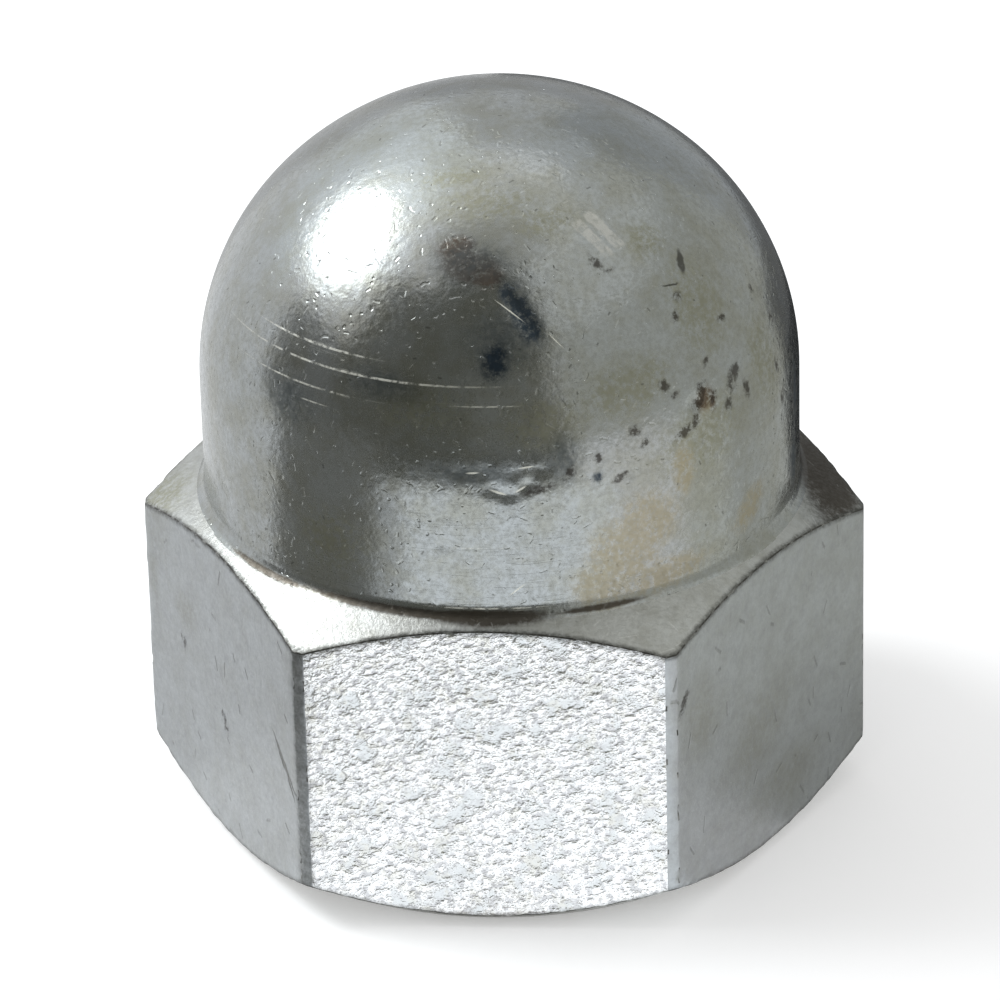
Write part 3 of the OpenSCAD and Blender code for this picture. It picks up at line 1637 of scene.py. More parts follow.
@dataclass(frozen=True)
class Dirt:
    """The stains and painted shade of one kind of face, each frayed by fine specks.

    Args:
        stains: The stains, from the lowest to the uppermost.
        specks: The specks.
        fraying: Between which values of the specks a stain frays.
    """

    stains: tuple[Stain, ...]
    specks: Grain = Grain(3.6, 6.0, 0.78)
    fraying: tuple[float, float] = (0.3, 0.7)

    def lay_over(self, pad: NodePad, place: Socket, colour: Socket) -> tuple[Socket, Socket]:
        """Lays the stains over a colour.

        Args:
            pad: The material.
            place: The place, in millimetres.
            colour: The clean metal's colour.

        Returns:
            The stained colour, and how dirty each place is.
        """
        specks = pad.noise(place, self.specks)
        total = None
        for stain in self.stains:
            fray = pad.fade(specks, Fade(*self.fraying, 1.0 - stain.ragged, 1.0 + stain.ragged))
            shown = pad.fade(pad.times(pad.painted(stain.layer), fray), Fade(stain.low, stain.high))
            share = pad.times(shown, stain.strength)
            colour = pad.mix(share, colour, stain.colour)
            total = share if total is None else pad.larger(total, share)
        return colour, total


# The olive colours are stains, and painted shade where they read the mark at -88 degrees.
OLIVE_AND_SHADE = Stain(OLIVE_STAINS_AND_SHADE, (0.235, 0.23, 0.165), 0.72, 0.0, 1.4)
TAN = Stain(TAN_STAINS, (0.325, 0.288, 0.203), 0.8, 0.0, 1.25, 0.65)
RUST = Stain(RUST_STAINS, (0.085, 0.053, 0.033), 0.84, 0.0, 0.8, 0.9)
NAVY = Stain(NAVY_STAINS, (0.02, 0.034, 0.052), 0.88, 0.0, 0.95, 0.6)
# Partly a stain colour, partly painted shade for dark reflections.
STAIN_AND_PAINTED_SHADE = Stain(STAINS_AND_PAINTED_SHADE, (0.085, 0.097, 0.10), 0.8, 0.0, 1.3, 0.5)
SOOT = Stain(SOOT_SPOTS, (0.042, 0.036, 0.03), 0.82, 0.14, 1.0, 0.9)
# Dark brown grime at the fillet, also laid as painted shade on the chamfer's far right.
GRIME_AND_SHADE = Stain(ROOT_GRIME_AND_SHADE, (0.052, 0.042, 0.031), 0.9, 0.0, 0.75, 0.3)
FLAT_OLIVE_AND_SHADE = Stain(OLIVE_STAINS_AND_SHADE, (0.27, 0.262, 0.215), 0.5, 0.0, 1.6, 0.5)
EDGE = Stain(EDGE_GRIME, (0.07, 0.07, 0.065), 0.74, 0.2, 1.0, 0.3)


@dataclass(frozen=True)
class Zinc:
    """What the finishes share: clouded zinc with an uneven skin, rougher where it is dirty.

    Args:
        clean: Colour of the clean zinc.
        dull: Colour of the clouds in it.
        clouds: The clouds.
        clouding: How far they show.
        grain: The fine grain.
        polish: Roughness, by that grain.
        dirty_roughness: What dirt adds to the roughness.
        skin: The unevenness of the skin.
        relief: Depth of that unevenness and of all that is cut into it.
        dirt: The stains, with the painted shade among them.
    """

    clean: Colour = (0.40, 0.417, 0.425)
    dull: Colour = (0.345, 0.355, 0.35)
    clouds: Grain = Grain(0.6, 8.0, 0.72)
    clouding: Fade = Fade(0.36, 0.68)
    grain: Grain = Grain(6.0, 5.0, 0.7)
    polish: Fade = Fade(0.3, 0.7, 0.3, 0.5)
    dirty_roughness: float = 0.2
    skin: Grain = Grain(5.0, 5.0, 0.7)
    relief: float = 0.02
    dirt: Dirt = Dirt(())

    def clouded(self, pad: NodePad, place: Socket) -> Socket:
        """Mixes the clean and the dull zinc in clouds."""
        return pad.mix(pad.fade(pad.noise(place, self.clouds), self.clouding), self.clean, self.dull)

    def satin(self, pad: NodePad, grain: Socket, dirty: Socket) -> Socket:
        """Gives the roughness over the fine grain, which dirt raises."""
        return pad.scaled(dirty, self.dirty_roughness, pad.fade(grain, self.polish))


@dataclass(frozen=True)
class TurnedZinc(Zinc):
    """Zinc over the turned neck and crown: semi-bright, scuffed, scratched, pitted and stained, with
    painted shade in places.

    Args:
        sizes: The nut's sizes.
        dim, dimming: Colour of the fine grain and how far it shows.
        bare: Colour of a fresh scratch.
        scratch_roughness: What a fresh scratch adds to the roughness.
        scratch_softness: Share of a bright scratch's width over which it fades.
        lathe_scratches, lathe_cover: The long scratches of the lathe and how far they cover.
        strand_stretch, strands, strand_cover: The finer strands that lie beside them.
        gaps, breaking: Noise that breaks the lathe's scratches.
        stray_scratches: The short bright scratches.
        pit, pits, pit_share, pit_cover: Small dark nicks.
        dark_scratches, gouge_softness: The dark scratches.
        fray: Scale and reach of the noise that makes their edges ragged.
        clamp_print, print_bars, print_colour, print_cover: The print that a clamp left.
        scuffs, scuff_bend, scuff_cover, scuff_depth: Short bent scuffs.
        turning_stretch, turning, turning_depth: Fine lines of the lathe.
        turning_ends, turning_on_crown: Where they fade, from the shoulder, and what stays above it.
        pocks, pock_depth: Round pits.
    """

    sizes: NutSizes | None = None
    clean: Colour = (0.358, 0.374, 0.376)
    dull: Colour = (0.28, 0.278, 0.235)
    bare: Colour = (0.78, 0.77, 0.70)
    pit: Colour = (0.06, 0.058, 0.052)
    dim: Colour = (0.19, 0.19, 0.17)
    print_colour: Colour = (0.50, 0.49, 0.46)
    clouds: Grain = Grain(0.55, 8.0, 0.72)
    clouding: Fade = Fade(0.38, 0.66, 0.0, 0.7)
    grain: Grain = Grain(4.6, 4.0, 0.8)
    dimming: Fade = Fade(0.38, 0.64, 0.0, 0.34)
    polish: Fade = Fade(0.3, 0.7, 0.15, 0.3)
    scratch_roughness: float = 0.34
    gaps: Grain = Grain(2.6, 3.0, 0.7)
    breaking: Fade = Fade(0.36, 0.56)
    pits: Scatter = Scatter(2.1, 0.24, 0.14, 0.05)
    pit_share: float = 0.6
    pit_cover: float = 0.85
    scuffs: Scatter = Scatter(2.0, 0.42, 0.5, 0.07)
    scuff_bend: tuple[float, float] = (1.4, 0.25)
    scuff_cover: float = 0.04
    lathe_cover: float = 0.8
    strand_stretch: Stretch = (0.3, 0.3, 17.0)
    strands: Fade = Fade(0.58, 0.74)
    strand_cover: float = 0.35
    turning_stretch: Stretch = (0.5, 0.5, 11.0)
    turning: Fade = Fade(0.6, 0.68)
    turning_ends: tuple[float, float] = (-2.6, 0.6)
    turning_on_crown: float = 0.1
    skin: Grain = Grain(2.8, 2.0, 0.55)
    pocks: Scatter = Scatter(2.9, 0.34, 0.5, smallest=0.3)
    pock_depth: float = 0.7
    scuff_depth: float = 0.4
    turning_depth: float = 0.1
    relief: float = 0.014
    dirt: Dirt = Dirt((OLIVE_AND_SHADE, TAN, RUST, STAIN_AND_PAINTED_SHADE, NAVY, SOOT, GRIME_AND_SHADE))
    fray: tuple[float, float] = (3.0, 0.12)
    scratch_softness: float = 0.6
    gouge_softness: float = 0.5
    clamp_print: Mark = Mark(34.6, 25.85, 1.0, 0.62, -68.0, 1.5)
    print_bars: int = 2
    print_cover: tuple[float, float] = (0.5, 0.16)
    dark_scratches: tuple[Mark, ...] = (
        Mark(53.6, 24.36, 0.62, 0.19, 64.0),
        Mark(47.2, 23.92, 0.52, 0.05, -10.0),
    )
    lathe_scratches: tuple[Mark, ...] = (
        RingMark(-36.0, 22.37, 2.9, 0.055),
        RingMark(-24.0, 21.76, 7.0, 0.055, 0.4),
        RingMark(-36.0, 20.95, 3.4, 0.045, 0.6),
        RingMark(1.0, 21.13, 1.6, 0.035),
        RingMark(-35.0, 20.42, 0.8, 0.035),
        RingMark(0.5, 15.68, 1.5, 0.03),
        RingMark(0.5, 13.2, 2.9, 0.045),
    )
    stray_scratches: tuple[Mark, ...] = (
        Mark(6.6, 24.15, 0.85, 0.035, -40.0),
        Mark(16.2, 23.15, 0.5, 0.025, -50.0),
        Mark(-1.5, 18.72, 0.3, 0.05, 4.0),
        Mark(3.2, 17.95, 0.42, 0.06, -20.0),
        Mark(8.5, 18.9, 0.35, 0.045, 5.0),
        Mark(7.4, 18.05, 0.3, 0.05, 30.0),
        Mark(6.3, 13.95, 0.45, 0.035, 38.0),
    )

    def skin_colour(self, pad: NodePad, place: Socket, grain: Socket) -> tuple[Socket, Socket]:
        """Clouds and dims the clean zinc and lays the dirt over it.

        Args:
            pad: The material.
            place: The place, in millimetres.
            grain: The fine grain.

        Returns:
            The stained colour, and how dirty each place is.
        """
        colour = pad.mix(pad.fade(grain, self.dimming), self.clouded(pad, place), self.dim)
        return self.dirt.lay_over(pad, place, colour)

    def bright_scratches(self, pad: NodePad, place: Socket, broken: Socket) -> Socket:
        """Draws the long scratches of the lathe and the stray ones.

        Args:
            pad: The material.
            place: The place, in millimetres.
            broken: Noise that leaves gaps in the lathe's scratches.

        Returns:
            One on the scratches and zero elsewhere.
        """
        lathe, stray = (
            pad.marks(place, scratches, self.sizes, self.scratch_softness)
            for scratches in (self.lathe_scratches, self.stray_scratches)
        )
        strands = pad.strokes(place, self.strand_stretch, self.strands)
        strands = pad.times(pad.times(pad.painted(LATHE_BANDS), strands), self.strand_cover)
        lathe = pad.times(pad.larger(pad.times(lathe, self.lathe_cover), strands), broken)
        return pad.larger(lathe, stray)

    def turning_lines(self, pad: NodePad, place: Socket) -> Socket:
        """Draws the fine lines of the lathe, which fade out where the crown begins.

        Args:
            pad: The material.
            place: The place, in millimetres.

        Returns:
            One on the lines and zero elsewhere.
        """
        first, last = (self.sizes.shoulder_z + end for end in self.turning_ends)
        _, _, height = pad.separate(place)
        on_neck = pad.fade(height, Fade(first, last, 1.0, self.turning_on_crown))
        return pad.times(pad.strokes(place, self.turning_stretch, self.turning), on_neck)

    def material(self) -> bpy.types.Material:
        """Builds the finish and returns its material."""
        pad = NodePad.material("zinc_turned")
        place = pad.place_mm()
        grain = pad.noise(place, self.grain)
        colour, dirty = self.skin_colour(pad, place, grain)
        ragged = pad.bent(place, *self.fray)
        gouges = pad.marks(ragged, self.dark_scratches, self.sizes, self.gouge_softness)
        pits = pad.times(pad.nicks(place, self.pits), self.pit_share)
        colour = pad.mix(pad.times(pad.larger(gouges, pits), self.pit_cover), colour, self.pit)

        broken = pad.fade(pad.noise(place, self.gaps), self.breaking)
        printed = pad.bars(ragged, self.clamp_print, self.sizes, self.print_bars)
        printed = pad.times(printed, pad.scaled(broken, *self.print_cover))
        colour = pad.mix(printed, colour, self.print_colour)

        bright = self.bright_scratches(pad, place, broken)
        scuffs = pad.nicks(pad.bent(place, *self.scuff_bend), self.scuffs)
        colour = pad.mix(pad.larger(bright, pad.times(scuffs, self.scuff_cover)), colour, self.bare)

        rough = pad.scaled(bright, self.scratch_roughness, self.satin(pad, grain, dirty))

        pocks = pad.pocks(ragged, self.pocks)
        cut = pad.scaled(pocks, self.pock_depth, pad.times(scuffs, self.scuff_depth))
        cut = pad.scaled(self.turning_lines(pad, place), self.turning_depth, cut)
        relief = pad.math("SUBTRACT", pad.noise(place, self.skin), cut)
        return pad.metal(colour, rough, pad.bump(relief, self.relief))


@dataclass(frozen=True)
class ChamferZinc(Zinc):
    """Zinc over the turned chamfer: satin, with rings from the tool, grime at its rims and painted shade
    at its far left and far right.

    Args:
        bare: Colour of a fresh scuff.
        scuffs, scuff_cover: The scuffs and how far they cover.
        rings, ring_depth: The rings that the tool left.
    """

    clean: Colour = (0.43, 0.435, 0.42)
    dull: Colour = (0.35, 0.35, 0.325)
    bare: Colour = (0.9, 0.9, 0.88)
    clouds: Grain = Grain(0.9, 7.0, 0.72)
    clouding: Fade = Fade(0.38, 0.68)
    dirt: Dirt = Dirt((OLIVE_AND_SHADE, STAIN_AND_PAINTED_SHADE, GRIME_AND_SHADE, EDGE))
    scuffs: Scatter = Scatter(1.3, 0.5, 0.5, 0.03)
    scuff_cover: float = 0.15
    rings: Grain = Grain(6.0, 3.0, 0.8)
    ring_depth: float = 0.3
    skin: Grain = Grain(4.0, 5.0, 0.7)
    relief: float = 0.026

    def material(self) -> bpy.types.Material:
        """Builds the finish and returns its material."""
        pad = NodePad.material("zinc_chamfer")
        place = pad.place_mm()
        x, y, _ = pad.separate(place)
        radius = pad.math("SQRT", pad.math("ADD", pad.times(x, x), pad.times(y, y)))
        rings = pad.noise(pad.add("CombineXYZ", {0: radius}).outputs[0], self.rings)
        colour, dirty = self.dirt.lay_over(pad, place, self.clouded(pad, place))
        scuffs = pad.times(pad.nicks(place, self.scuffs), self.scuff_cover)
        colour = pad.mix(scuffs, colour, self.bare)
        rough = self.satin(pad, pad.noise(place, self.grain), dirty)
        relief = pad.scaled(rings, self.ring_depth, pad.noise(place, self.skin))
        return pad.metal(colour, rough, pad.bump(relief, self.relief))


@dataclass(frozen=True)
class EdgeZinc:
    """Zinc over the broken edges: dark where dirt has caught, bright where it has rubbed off.

    Args:
        dark: Colour of the dirt.
        worn: Colour of the rubbed metal.
        wear: The wear.
        wearing: How far the metal shows, by the wear.
        polish: Roughness, by the wear.
        relief: Depth of the wear.
    """

    dark: Colour = (0.07, 0.068, 0.062)
    worn: Colour = (0.30, 0.30, 0.285)
    wear: Grain = Grain(2.4, 5.0, 0.7)
    wearing: Fade = Fade(0.46, 0.70)
    polish: Fade = Fade(0.35, 0.7, 0.5, 0.3)
    relief: float = 0.05

    def material(self) -> bpy.types.Material:
        """Builds the finish and returns its material."""
        pad = NodePad.material("zinc_edge")
        wear = pad.noise(pad.place_mm(), self.wear)
        colour = pad.mix(pad.fade(wear, self.wearing), self.dark, self.worn)
        return pad.metal(colour, pad.fade(wear, self.polish), pad.bump(wear, self.relief))


@dataclass(frozen=True)
class DrawnZinc(Zinc):
    """Zinc over a smooth drawn flat: even satin, mottled, with specks, small nicks and scratches.

    Args:
        sizes: The nut's sizes.
        mottle, mottling, mottled: Colour of the mottling, its noise and how far it shows.
        speck, specks, speckled, speck_cover: Colour of the specks, their noise and how far they show.
        pit: Colour of what is cut in.
        nick_stretch, nicks, nick_cover: The nicks.
        scratches, scratch_cover, scratch_softness: The scratches.
        fray: Scale and reach of the noise that makes their edges ragged.
    """

    sizes: NutSizes | None = None
    mottle: Colour = (0.29, 0.295, 0.31)
    speck: Colour = (0.66, 0.67, 0.67)
    pit: Colour = (0.15, 0.15, 0.14)
    mottling: Grain = Grain(2.6, 5.0, 0.75)
    mottled: Fade = Fade(0.42, 0.64, 0.0, 0.4)
    dirt: Dirt = Dirt((FLAT_OLIVE_AND_SHADE, SOOT, EDGE))
    specks: Grain = Grain(8.0, 3.0, 0.7)
    speckled: Fade = Fade(0.62, 0.74)
    speck_cover: float = 0.3
    nick_stretch: Stretch = (1.0, 1.0, 0.6)
    nicks: Scatter = Scatter(1.3, 0.34, 0.35, 0.06)
    nick_cover: float = 0.4
    scratch_cover: float = 0.9
    scratch_softness: float = 0.6
    fray: tuple[float, float] = (3.0, 0.1)
    polish: Fade = Fade(0.3, 0.7, 0.3, 0.46)
    dirty_roughness: float = 0.15
    relief: float = 0.018
    scratches: tuple[FlatMark, ...] = (
        FlatMark(-60.0, 6.35, 1.9, 0.09, -46.0, aside=5.6),
        FlatMark(-60.0, 6.5, 0.9, 0.15, -50.0, aside=5.35),
        FlatMark(-60.0, 5.75, 1.1, 0.1, -58.0, aside=6.0),
    )

    def material(self) -> bpy.types.Material:
        """Builds the finish and returns its material."""
        pad = NodePad.material("zinc_smooth_flat")
        place = pad.place_mm()
        mottled = pad.fade(pad.noise(place, self.mottling), self.mottled)
        colour = pad.mix(mottled, self.clouded(pad, place), self.mottle)
        colour, dirty = self.dirt.lay_over(pad, place, colour)
        specks = pad.fade(pad.noise(place, self.specks), self.speckled)
        colour = pad.mix(pad.times(specks, self.speck_cover), colour, self.speck)
        nicks = pad.nicks(pad.stretched(place, self.nick_stretch), self.nicks)
        ragged = pad.bent(place, *self.fray)
        scratched = pad.marks(ragged, self.scratches, self.sizes, self.scratch_softness)
        cut = pad.larger(pad.times(nicks, self.nick_cover), pad.times(scratched, self.scratch_cover))
        colour = pad.mix(cut, colour, self.pit)
        rough = self.satin(pad, pad.noise(place, self.grain), dirty)
        relief = pad.math("SUBTRACT", pad.noise(place, self.skin), pad.larger(nicks, scratched))
        return pad.metal(colour, rough, pad.bump(relief, self.relief))


@dataclass(frozen=True)
class CoarseZinc:
    """Zinc over the coarse flat: bright leathery grain, partly painted sheen, with thin grey folds and
    calm grey patches.

    Args:
        sizes: The nut's sizes.
        bright: Colour of the grain, lighter than the zinc's own as painted sheen.
        fold, folded, fold_cover: Colour of its folds and how far they show.
        blotch, calm_patches, calm_cover: Colour and noise of the smooth patches.
        warm, warm_patches, warm_cover: Colour and noise of the warmer patches.
        patched: How far both kinds of patch show.
        grain, grain_stretch, grain_turn, grain_depth: The leathery grain.
        fine, fine_depth: The finer grain over it.
        bend: Scale and reach of the noise that bends both.
        roughness: Roughness of the whole flat.
        relief: Depth of a full step of the relief.
        dirt: The stains.
        scratches, scratch_softness: The scratches.
    """

    sizes: NutSizes
    # Partly painted sheen: the grain's colour is lighter than the other flats' zinc, standing in for the
    # lit floor that this flat reflects.
    bright: Colour = (0.87, 0.865, 0.86)
    fold: Colour = (0.47, 0.465, 0.475)
    blotch: Colour = (0.45, 0.475, 0.48)
    warm: Colour = (0.66, 0.64, 0.58)
    calm_patches: Grain = Grain(1.2, 4.0, 0.6)
    warm_patches: Grain = Grain(1.7, 4.0, 0.6)
    patched: Fade = Fade(0.5, 0.66)
    calm_cover: float = 0.55
    warm_cover: float = 0.6
    fold_cover: float = 0.8
    grain_stretch: Stretch = (2.9, 1.0, 4.2)
    grain_turn: float = 24.0
    grain: Grain = Grain(1.0, 3.0, 0.6)
    folded: Fade = Fade(0.52, 0.38)
    grain_depth: float = 2.4
    fine: Grain = Grain(6.0, 2.0, 0.6)
    fine_depth: float = 0.5
    bend: tuple[float, float] = (2.6, 0.16)
    roughness: float = 0.25
    relief: float = 0.055
    scratch_softness: float = 0.5
    dirt: Dirt = Dirt((EDGE,))
    scratches: tuple[FlatMark, ...] = (
        FlatMark(0.0, 9.5, 0.68, 0.07, 32.0, aside=-5.87),
        FlatMark(0.0, 7.5, 1.14, 0.05, 41.0, aside=-2.9),
        FlatMark(0.0, 6.1, 0.9, 0.045, 30.0, aside=-1.6),
        FlatMark(0.0, 7.9, 0.8, 0.045, 38.0, aside=-4.6),
    )

    def material(self) -> bpy.types.Material:
        """Builds the finish and returns its material."""
        pad = NodePad.material("zinc_coarse_flat")
        straight = pad.place_mm()
        place = pad.bent(straight, *self.bend)
        calm = pad.fade(pad.noise(straight, self.calm_patches), self.patched)
        warm = pad.fade(pad.noise(straight, self.warm_patches), self.patched)
        grain = pad.noise(pad.stretched(place, self.grain_stretch, self.grain_turn), self.grain)
        lively = pad.scaled(calm, -self.calm_cover, 1.0)
        folds = pad.times(pad.fade(grain, self.folded), lively)
        colour = pad.mix(pad.times(calm, self.calm_cover), self.bright, self.blotch)
        colour = pad.mix(pad.times(warm, self.warm_cover), colour, self.warm)
        colour = pad.mix(pad.times(folds, self.fold_cover), colour, self.fold)
        colour, _ = self.dirt.lay_over(pad, straight, colour)
        fine = pad.times(pad.noise(place, self.fine), self.fine_depth)
        relief = pad.times(pad.scaled(grain, self.grain_depth, fine), lively)
        scratched = pad.marks(straight, self.scratches, self.sizes, self.scratch_softness)
        relief = pad.math("SUBTRACT", relief, scratched)
        return pad.metal(colour, self.roughness, pad.bump(relief, self.relief))


@dataclass(frozen=True)
class PlainZinc(Zinc):
    """Zinc over a face that is mostly out of sight: one cloudy colour and a faint grain.

    Args:
        name: Name of the material.
        roughness: Its roughness.
    """

    name: str = "zinc_plain"
    roughness: float = 0.34
    clouds: Grain = Grain(0.6, 4.0, 0.6)
    clouding: Fade = Fade(0.4, 0.7)
    skin: Grain = Grain(5.0, 4.0, 0.7)
    relief: float = 0.012

    def material(self) -> bpy.types.Material:
        """Builds the finish and returns its material."""
        pad = NodePad.material(self.name)
        place = pad.place_mm()
        normal = pad.bump(pad.noise(place, self.skin), self.relief)
        return pad.metal(self.clouded(pad, place), self.roughness, normal)


# ------------------------------ Studio


@dataclass(frozen=True)
class Viewpoint:
    """The camera.

    Args:
        azimuth: Its direction from the nut, in degrees from -Y towards +X.
        elevation: Its height above the horizon, in degrees.
        roll: Its turn about its own axis, in degrees.
        distance: Its distance from the point that it aims at.
        lens: Its focal length.
        sensor: Width of its sensor.
        aim_right: How far that point lies to the right of the axis.
        aim_height: Height of that point.
    """

    azimuth: float = 4.07
    elevation: float = 27.69
    roll: float = -1.45
    distance: float = 256.04
    lens: float = 242.04
    sensor: float = 36.0
    aim_right: float = -0.1075
    aim_height: float = 11.739

    def place(self) -> None:
        """Makes the camera and gives it to the scene."""
        data = bpy.data.cameras.new("camera")
        data.lens = self.lens
        data.sensor_width = self.sensor
        data.clip_start = 10 * MM
        aside = Vector((self.aim_right, 0, self.aim_height)) * MM
        aim = turned(self.azimuth, "Z") @ Matrix.Translation(aside)
        stand = turned(90 - self.elevation, "X") @ raised(self.distance) @ turned(self.roll, "Z")
        camera = bpy.data.objects.new("camera", data)
        camera.matrix_world = aim @ stand
        bpy.context.scene.collection.objects.link(camera)
        bpy.context.scene.camera = camera


@dataclass(frozen=True)
class Flag:
    """A studio flag that shows only in the metal's reflections.

    Args:
        name: The flag's name.
        azimuths: Its left and right ends, in degrees from -Y towards +X.
        shade: Colour of the flag as the metal sees it.
    """

    COLUMN_DEGREES: ClassVar[float] = 4.0
    LEAST_COLUMNS: ClassVar[int] = 4

    name: str
    azimuths: tuple[float, float]
    shade: Colour

    def section(self) -> Outline:
        """Draws the section that is spun through the azimuths."""
        raise NotImplementedError

    def place(self) -> None:
        """Spins the flag round the nut and puts it on the stage."""
        first, last = self.azimuths
        bm = bmesh.new()
        chain = self.section().draw(bm)
        to_first = Matrix.Scale(MM, 4) @ turned(first - 90, "Z")
        bmesh.ops.transform(bm, matrix=to_first, verts=bm.verts[:])
        columns = max(self.LEAST_COLUMNS, round((last - first) / self.COLUMN_DEGREES))
        span = math.radians(last - first)
        bmesh.ops.spin(bm, geom=chain, axis=(0, 0, 1), angle=span, steps=columns, use_merge=False)
        flag = make_object(self.name, bm, (self.material(),))
        for ray in ("camera", "diffuse", "shadow", "transmission"):
            setattr(flag, "visible_" + ray, False)

    def material(self) -> bpy.types.Material:
        """Builds the flag's even colour and returns its material."""
        pad = NodePad.material(self.name)
        even = pad.end(pad.add("Emission", {"Color": self.shade}))
        even.cycles.emission_sampling = "NONE"
        return even


@dataclass(frozen=True)
class CurvedCard(Flag):
    """An upright flag, curved round the nut like a piece of a globe.

    Args:
        elevations: Its lower and upper ends, in degrees as the nut sees them.
        distance: Its distance from the nut.
        rows: Rows of its mesh.
    """

    elevations: tuple[float, float] = (0.0, 60.0)
    distance: float = 180.0
    rows: int = 24

    def section(self) -> Outline:
        """Draws an upright arc."""
        low, high = (math.radians(e) for e in self.elevations)
        foot_r, foot_z = self.distance * math.cos(low), NUT_MIDDLE + self.distance * math.sin(low)
        return Outline().start(foot_r, foot_z).arc((0, NUT_MIDDLE), self.distance, low, high, self.rows)


@dataclass(frozen=True)
class FloorMat(Flag):
    """A flat flag that lies on the floor round the nut.

    Args:
        radii: Its inner and outer radius.
        lift: Its height above the floor.
    """

    radii: tuple[float, float] = (20.0, 190.0)
    lift: float = 0.05

    def section(self) -> Outline:
        """Draws a line outwards along the floor."""
        return Outline().start(self.radii[0], self.lift).line_to(self.radii[1], self.lift, 2)


@dataclass(frozen=True)
class SoftBox:
    """A round soft light aimed at the nut.

    Args:
        name: The light's name.
        azimuth: Its direction from the nut, in degrees from -Y towards +X.
        elevation: Its height above the horizon, in degrees.
        distance: Its distance from the nut.
        width: Its width.
        height: Its height.
        watts: Its power.
        colour: Its colour.
    """

    name: str
    azimuth: float
    elevation: float
    distance: float
    width: float
    height: float
    watts: float
    colour: Colour = WHITE

    def place(self) -> None:
        """Makes the light and aims it."""
        data = bpy.data.lights.new(self.name, "AREA")
        data.shape = "ELLIPSE"
        data.size = self.width * MM
        data.size_y = self.height * MM
        data.energy = self.watts
        data.color = self.colour
        light = bpy.data.objects.new(self.name, data)
        aim = raised(NUT_MIDDLE) @ turned(self.azimuth, "Z")
        light.matrix_world = aim @ turned(90 - self.elevation, "X") @ raised(self.distance)
        bpy.context.scene.collection.objects.link(light)
        light.visible_camera = False


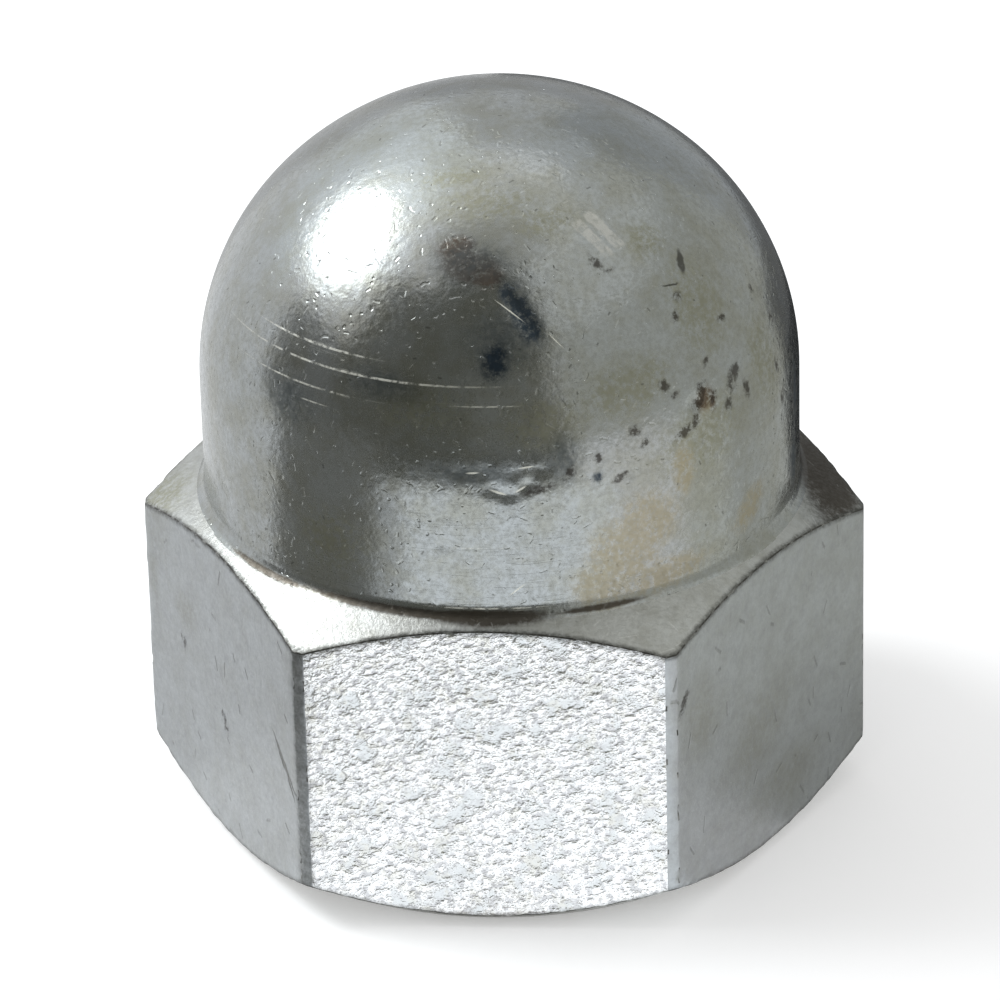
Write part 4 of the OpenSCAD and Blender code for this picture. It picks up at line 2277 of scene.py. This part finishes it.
@dataclass(frozen=True)
class Studio:
    """Floor, world, lights and cards round the nut.

    Args:
        floor_half: Half the width of the floor.
        floor_colour: Its colour.
        floor_lift: Light that it adds where it is seen directly, so that it shows white.
        fill_level: Strength of the world as a light.
        softboxes: The lights.
        flags: What the metal reflects.
    """

    floor_half: float = 3000.0
    floor_colour: Colour = (0.8, 0.8, 0.8)
    floor_lift: float = 0.3
    fill_level: float = 0.75
    softboxes: tuple[SoftBox, ...] = (
        SoftBox("key", -102.5, 46.0, 320.0, 138.0, 105.0, 0.41, (0.96, 0.98, 1.0)),
        SoftBox("key_bloom", -97.0, 43.0, 322.0, 205.0, 165.0, 0.22, (0.91, 0.97, 1.0)),
        SoftBox("key_halo", -110.0, 50.0, 324.0, 330.0, 280.0, 0.115, (0.87, 0.95, 1.0)),
    )
    flags: tuple[Flag, ...] = (
        CurvedCard("dark_flag", (-35.0, 25.0), (0.18, 0.185, 0.165), (-8.0, 69.0)),
        CurvedCard("dark_flag_low", (-9.0, 25.0), (0.25, 0.255, 0.23), (-8.0, 27.0), 179.0),
        CurvedCard("dark_flag_mid", (-60.0, -35.0), (0.195, 0.20, 0.185), (-8.0, 54.0), 181.0),
        CurvedCard("dark_flag_left", (-92.0, -60.0), (0.23, 0.235, 0.225), (-8.0, 24.0), 182.0),
        CurvedCard("white_card_left", (-150.0, -91.0), (1.02, 1.04, 1.06), (-8.0, 16.0), 184.0),
        CurvedCard("grey_card_left", (-166.0, -150.0), (0.66, 0.67, 0.68), (-8.0, 16.0), 184.0),
        CurvedCard("tall_card_low", (-166.0, -104.0), (1.12, 1.17, 1.20), (16.0, 36.0), 345.0),
        CurvedCard("tall_card_high", (-166.0, -104.0), (1.36, 1.42, 1.44), (36.0, 72.0), 345.0),
        CurvedCard("over_card_left", (-180.0, -75.0), (1.3, 1.31, 1.29), (72.0, 90.0), 345.0),
        CurvedCard("over_card_front", (-75.0, 70.0), (0.66, 0.67, 0.65), (69.5, 90.0), 190.0),
        CurvedCard("over_card_right", (70.0, 180.0), (0.95, 0.965, 0.94), (73.0, 90.0), 191.0),
        CurvedCard("grey_card_right", (27.0, 142.0), (0.65, 0.665, 0.63), (-8.0, 40.0), 190.0),
        CurvedCard("grey_card_above", (27.0, 142.0), (0.85, 0.87, 0.845), (38.0, 64.0), 192.0),
        CurvedCard("white_card_above", (27.0, 142.0), (1.03, 1.05, 1.03), (64.0, 74.0), 192.0),
        CurvedCard("grey_card_behind", (168.0, 194.0), (0.48, 0.49, 0.50), (-8.0, 18.0), 194.0),
        CurvedCard("pale_card_behind", (168.0, 194.0), (0.80, 0.82, 0.83), (18.0, 60.0), 194.0),
        CurvedCard("grey_card_back", (141.0, 170.0), (0.52, 0.545, 0.56), (-8.0, 42.0), 189.0),
        CurvedCard("pale_card_back", (141.0, 170.0), (0.76, 0.79, 0.80), (42.0, 60.0), 189.0),
        CurvedCard("high_card_back", (141.0, 194.0), (1.32, 1.34, 1.33), (60.0, 74.0), 189.0),
        FloorMat("dark_mat_left", (-81.0, -39.1), (0.27, 0.275, 0.26), (22.0, 190.0)),
        FloorMat("grey_mat_left", (-150.0, -82.0), (0.98, 1.0, 1.015), (12.6, 190.0)),
        FloorMat("grey_mat_far_left", (-176.0, -150.1), (0.65, 0.66, 0.67), (12.6, 190.0)),
        FloorMat("white_mat_front", (-29.0, 42.0), (1.36, 1.42, 1.47), (12.6, 56.0)),
        FloorMat("grey_mat_between", (-39.0, -29.1), (0.8, 0.83, 0.85), (12.6, 56.0)),
        FloorMat("dark_mat_front", (-39.0, 27.0), (0.16, 0.165, 0.15), (57.0, 190.0)),
        FloorMat("grey_mat_right", (68.0, 130.0), (0.45, 0.46, 0.445), (12.6, 22.0)),
        FloorMat("pale_mat_right", (68.0, 88.0), (0.90, 0.92, 0.87), (22.1, 190.0)),
        FloorMat("grey_mat_far_right", (88.1, 130.0), (0.66, 0.675, 0.64), (22.1, 190.0)),
        FloorMat("dark_mat_back", (130.1, 183.9), (0.025, 0.027, 0.03), (18.0, 60.0)),
        FloorMat("grey_mat_back", (130.1, 183.9), (0.15, 0.155, 0.16), (60.1, 190.0)),
    )

    def place_world(self) -> None:
        """Makes a world that shows white and lights at a plain level."""
        pad = NodePad(bpy.data.worlds.new("studio_world"))
        fill, seen = (
            pad.add("Background", {"Color": WHITE, "Strength": level}).outputs[0]
            for level in (self.fill_level, 1.0)
        )
        bpy.context.scene.world = pad.end(pad.add("MixShader", {0: pad.seen_directly(), 1: fill, 2: seen}))

    def place_floor(self) -> None:
        """Lays a pale floor that keeps the nut's shadow."""
        pad = NodePad.material("pale_floor")
        diffuse = pad.add("BsdfDiffuse", {"Color": self.floor_colour}).outputs[0]
        strength = pad.times(pad.seen_directly(), self.floor_lift)
        lift = pad.add("Emission", {"Strength": strength}).outputs[0]
        pale = pad.end(pad.add("AddShader", {0: diffuse, 1: lift}))
        bm = bmesh.new()
        bmesh.ops.create_grid(bm, x_segments=1, y_segments=1, size=self.floor_half * MM)
        floor = make_object("floor", bm, (pale,))

    def place(self) -> None:
        """Sets the whole studio up."""
        self.place_world()
        self.place_floor()
        for thing in (*self.softboxes, *self.flags):
            thing.place()
        bpy.context.scene.view_settings.view_transform = "Standard"


# ------------------------------ Assembly


def finishes(sizes: NutSizes) -> dict[Face, bpy.types.Material]:
    """Builds the finish of each kind of face.

    Args:
        sizes: The nut's sizes.

    Returns:
        The materials, by kind of face.
    """
    bearing = PlainZinc((0.42, 0.43, 0.43), (0.33, 0.33, 0.31), name="zinc_bearing")
    thread = PlainZinc((0.36, 0.36, 0.34), (0.26, 0.25, 0.22), name="zinc_thread", roughness=0.38)
    return {
        Face.TURNED: TurnedZinc(sizes=sizes).material(),
        Face.CHAMFER: ChamferZinc().material(),
        Face.SMOOTH_FLAT: DrawnZinc(sizes=sizes).material(),
        Face.COARSE_FLAT: CoarseZinc(sizes).material(),
        Face.BEARING: bearing.material(),
        Face.HOLE: thread.material(),
        Face.EDGE: EdgeZinc().material(),
    }


def main() -> None:
    """Builds the camera, the nut and the studio round it."""
    logging.basicConfig(level=logging.INFO, format="%(name)s: %(message)s")
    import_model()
    Viewpoint().place()
    sizes = NutSizes.from_frame("cap_nut")
    nut = CapNut(sizes, TurnedBlank(sizes), ThreadedHole(sizes))
    piece = nut.build(finishes(sizes))
    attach(piece, "root")
    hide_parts("cap_nut")
    LOG.info("%s: %d faces", piece.name, len(piece.data.polygons))
    Studio().place()


if __name__ == "__main__":
    main()
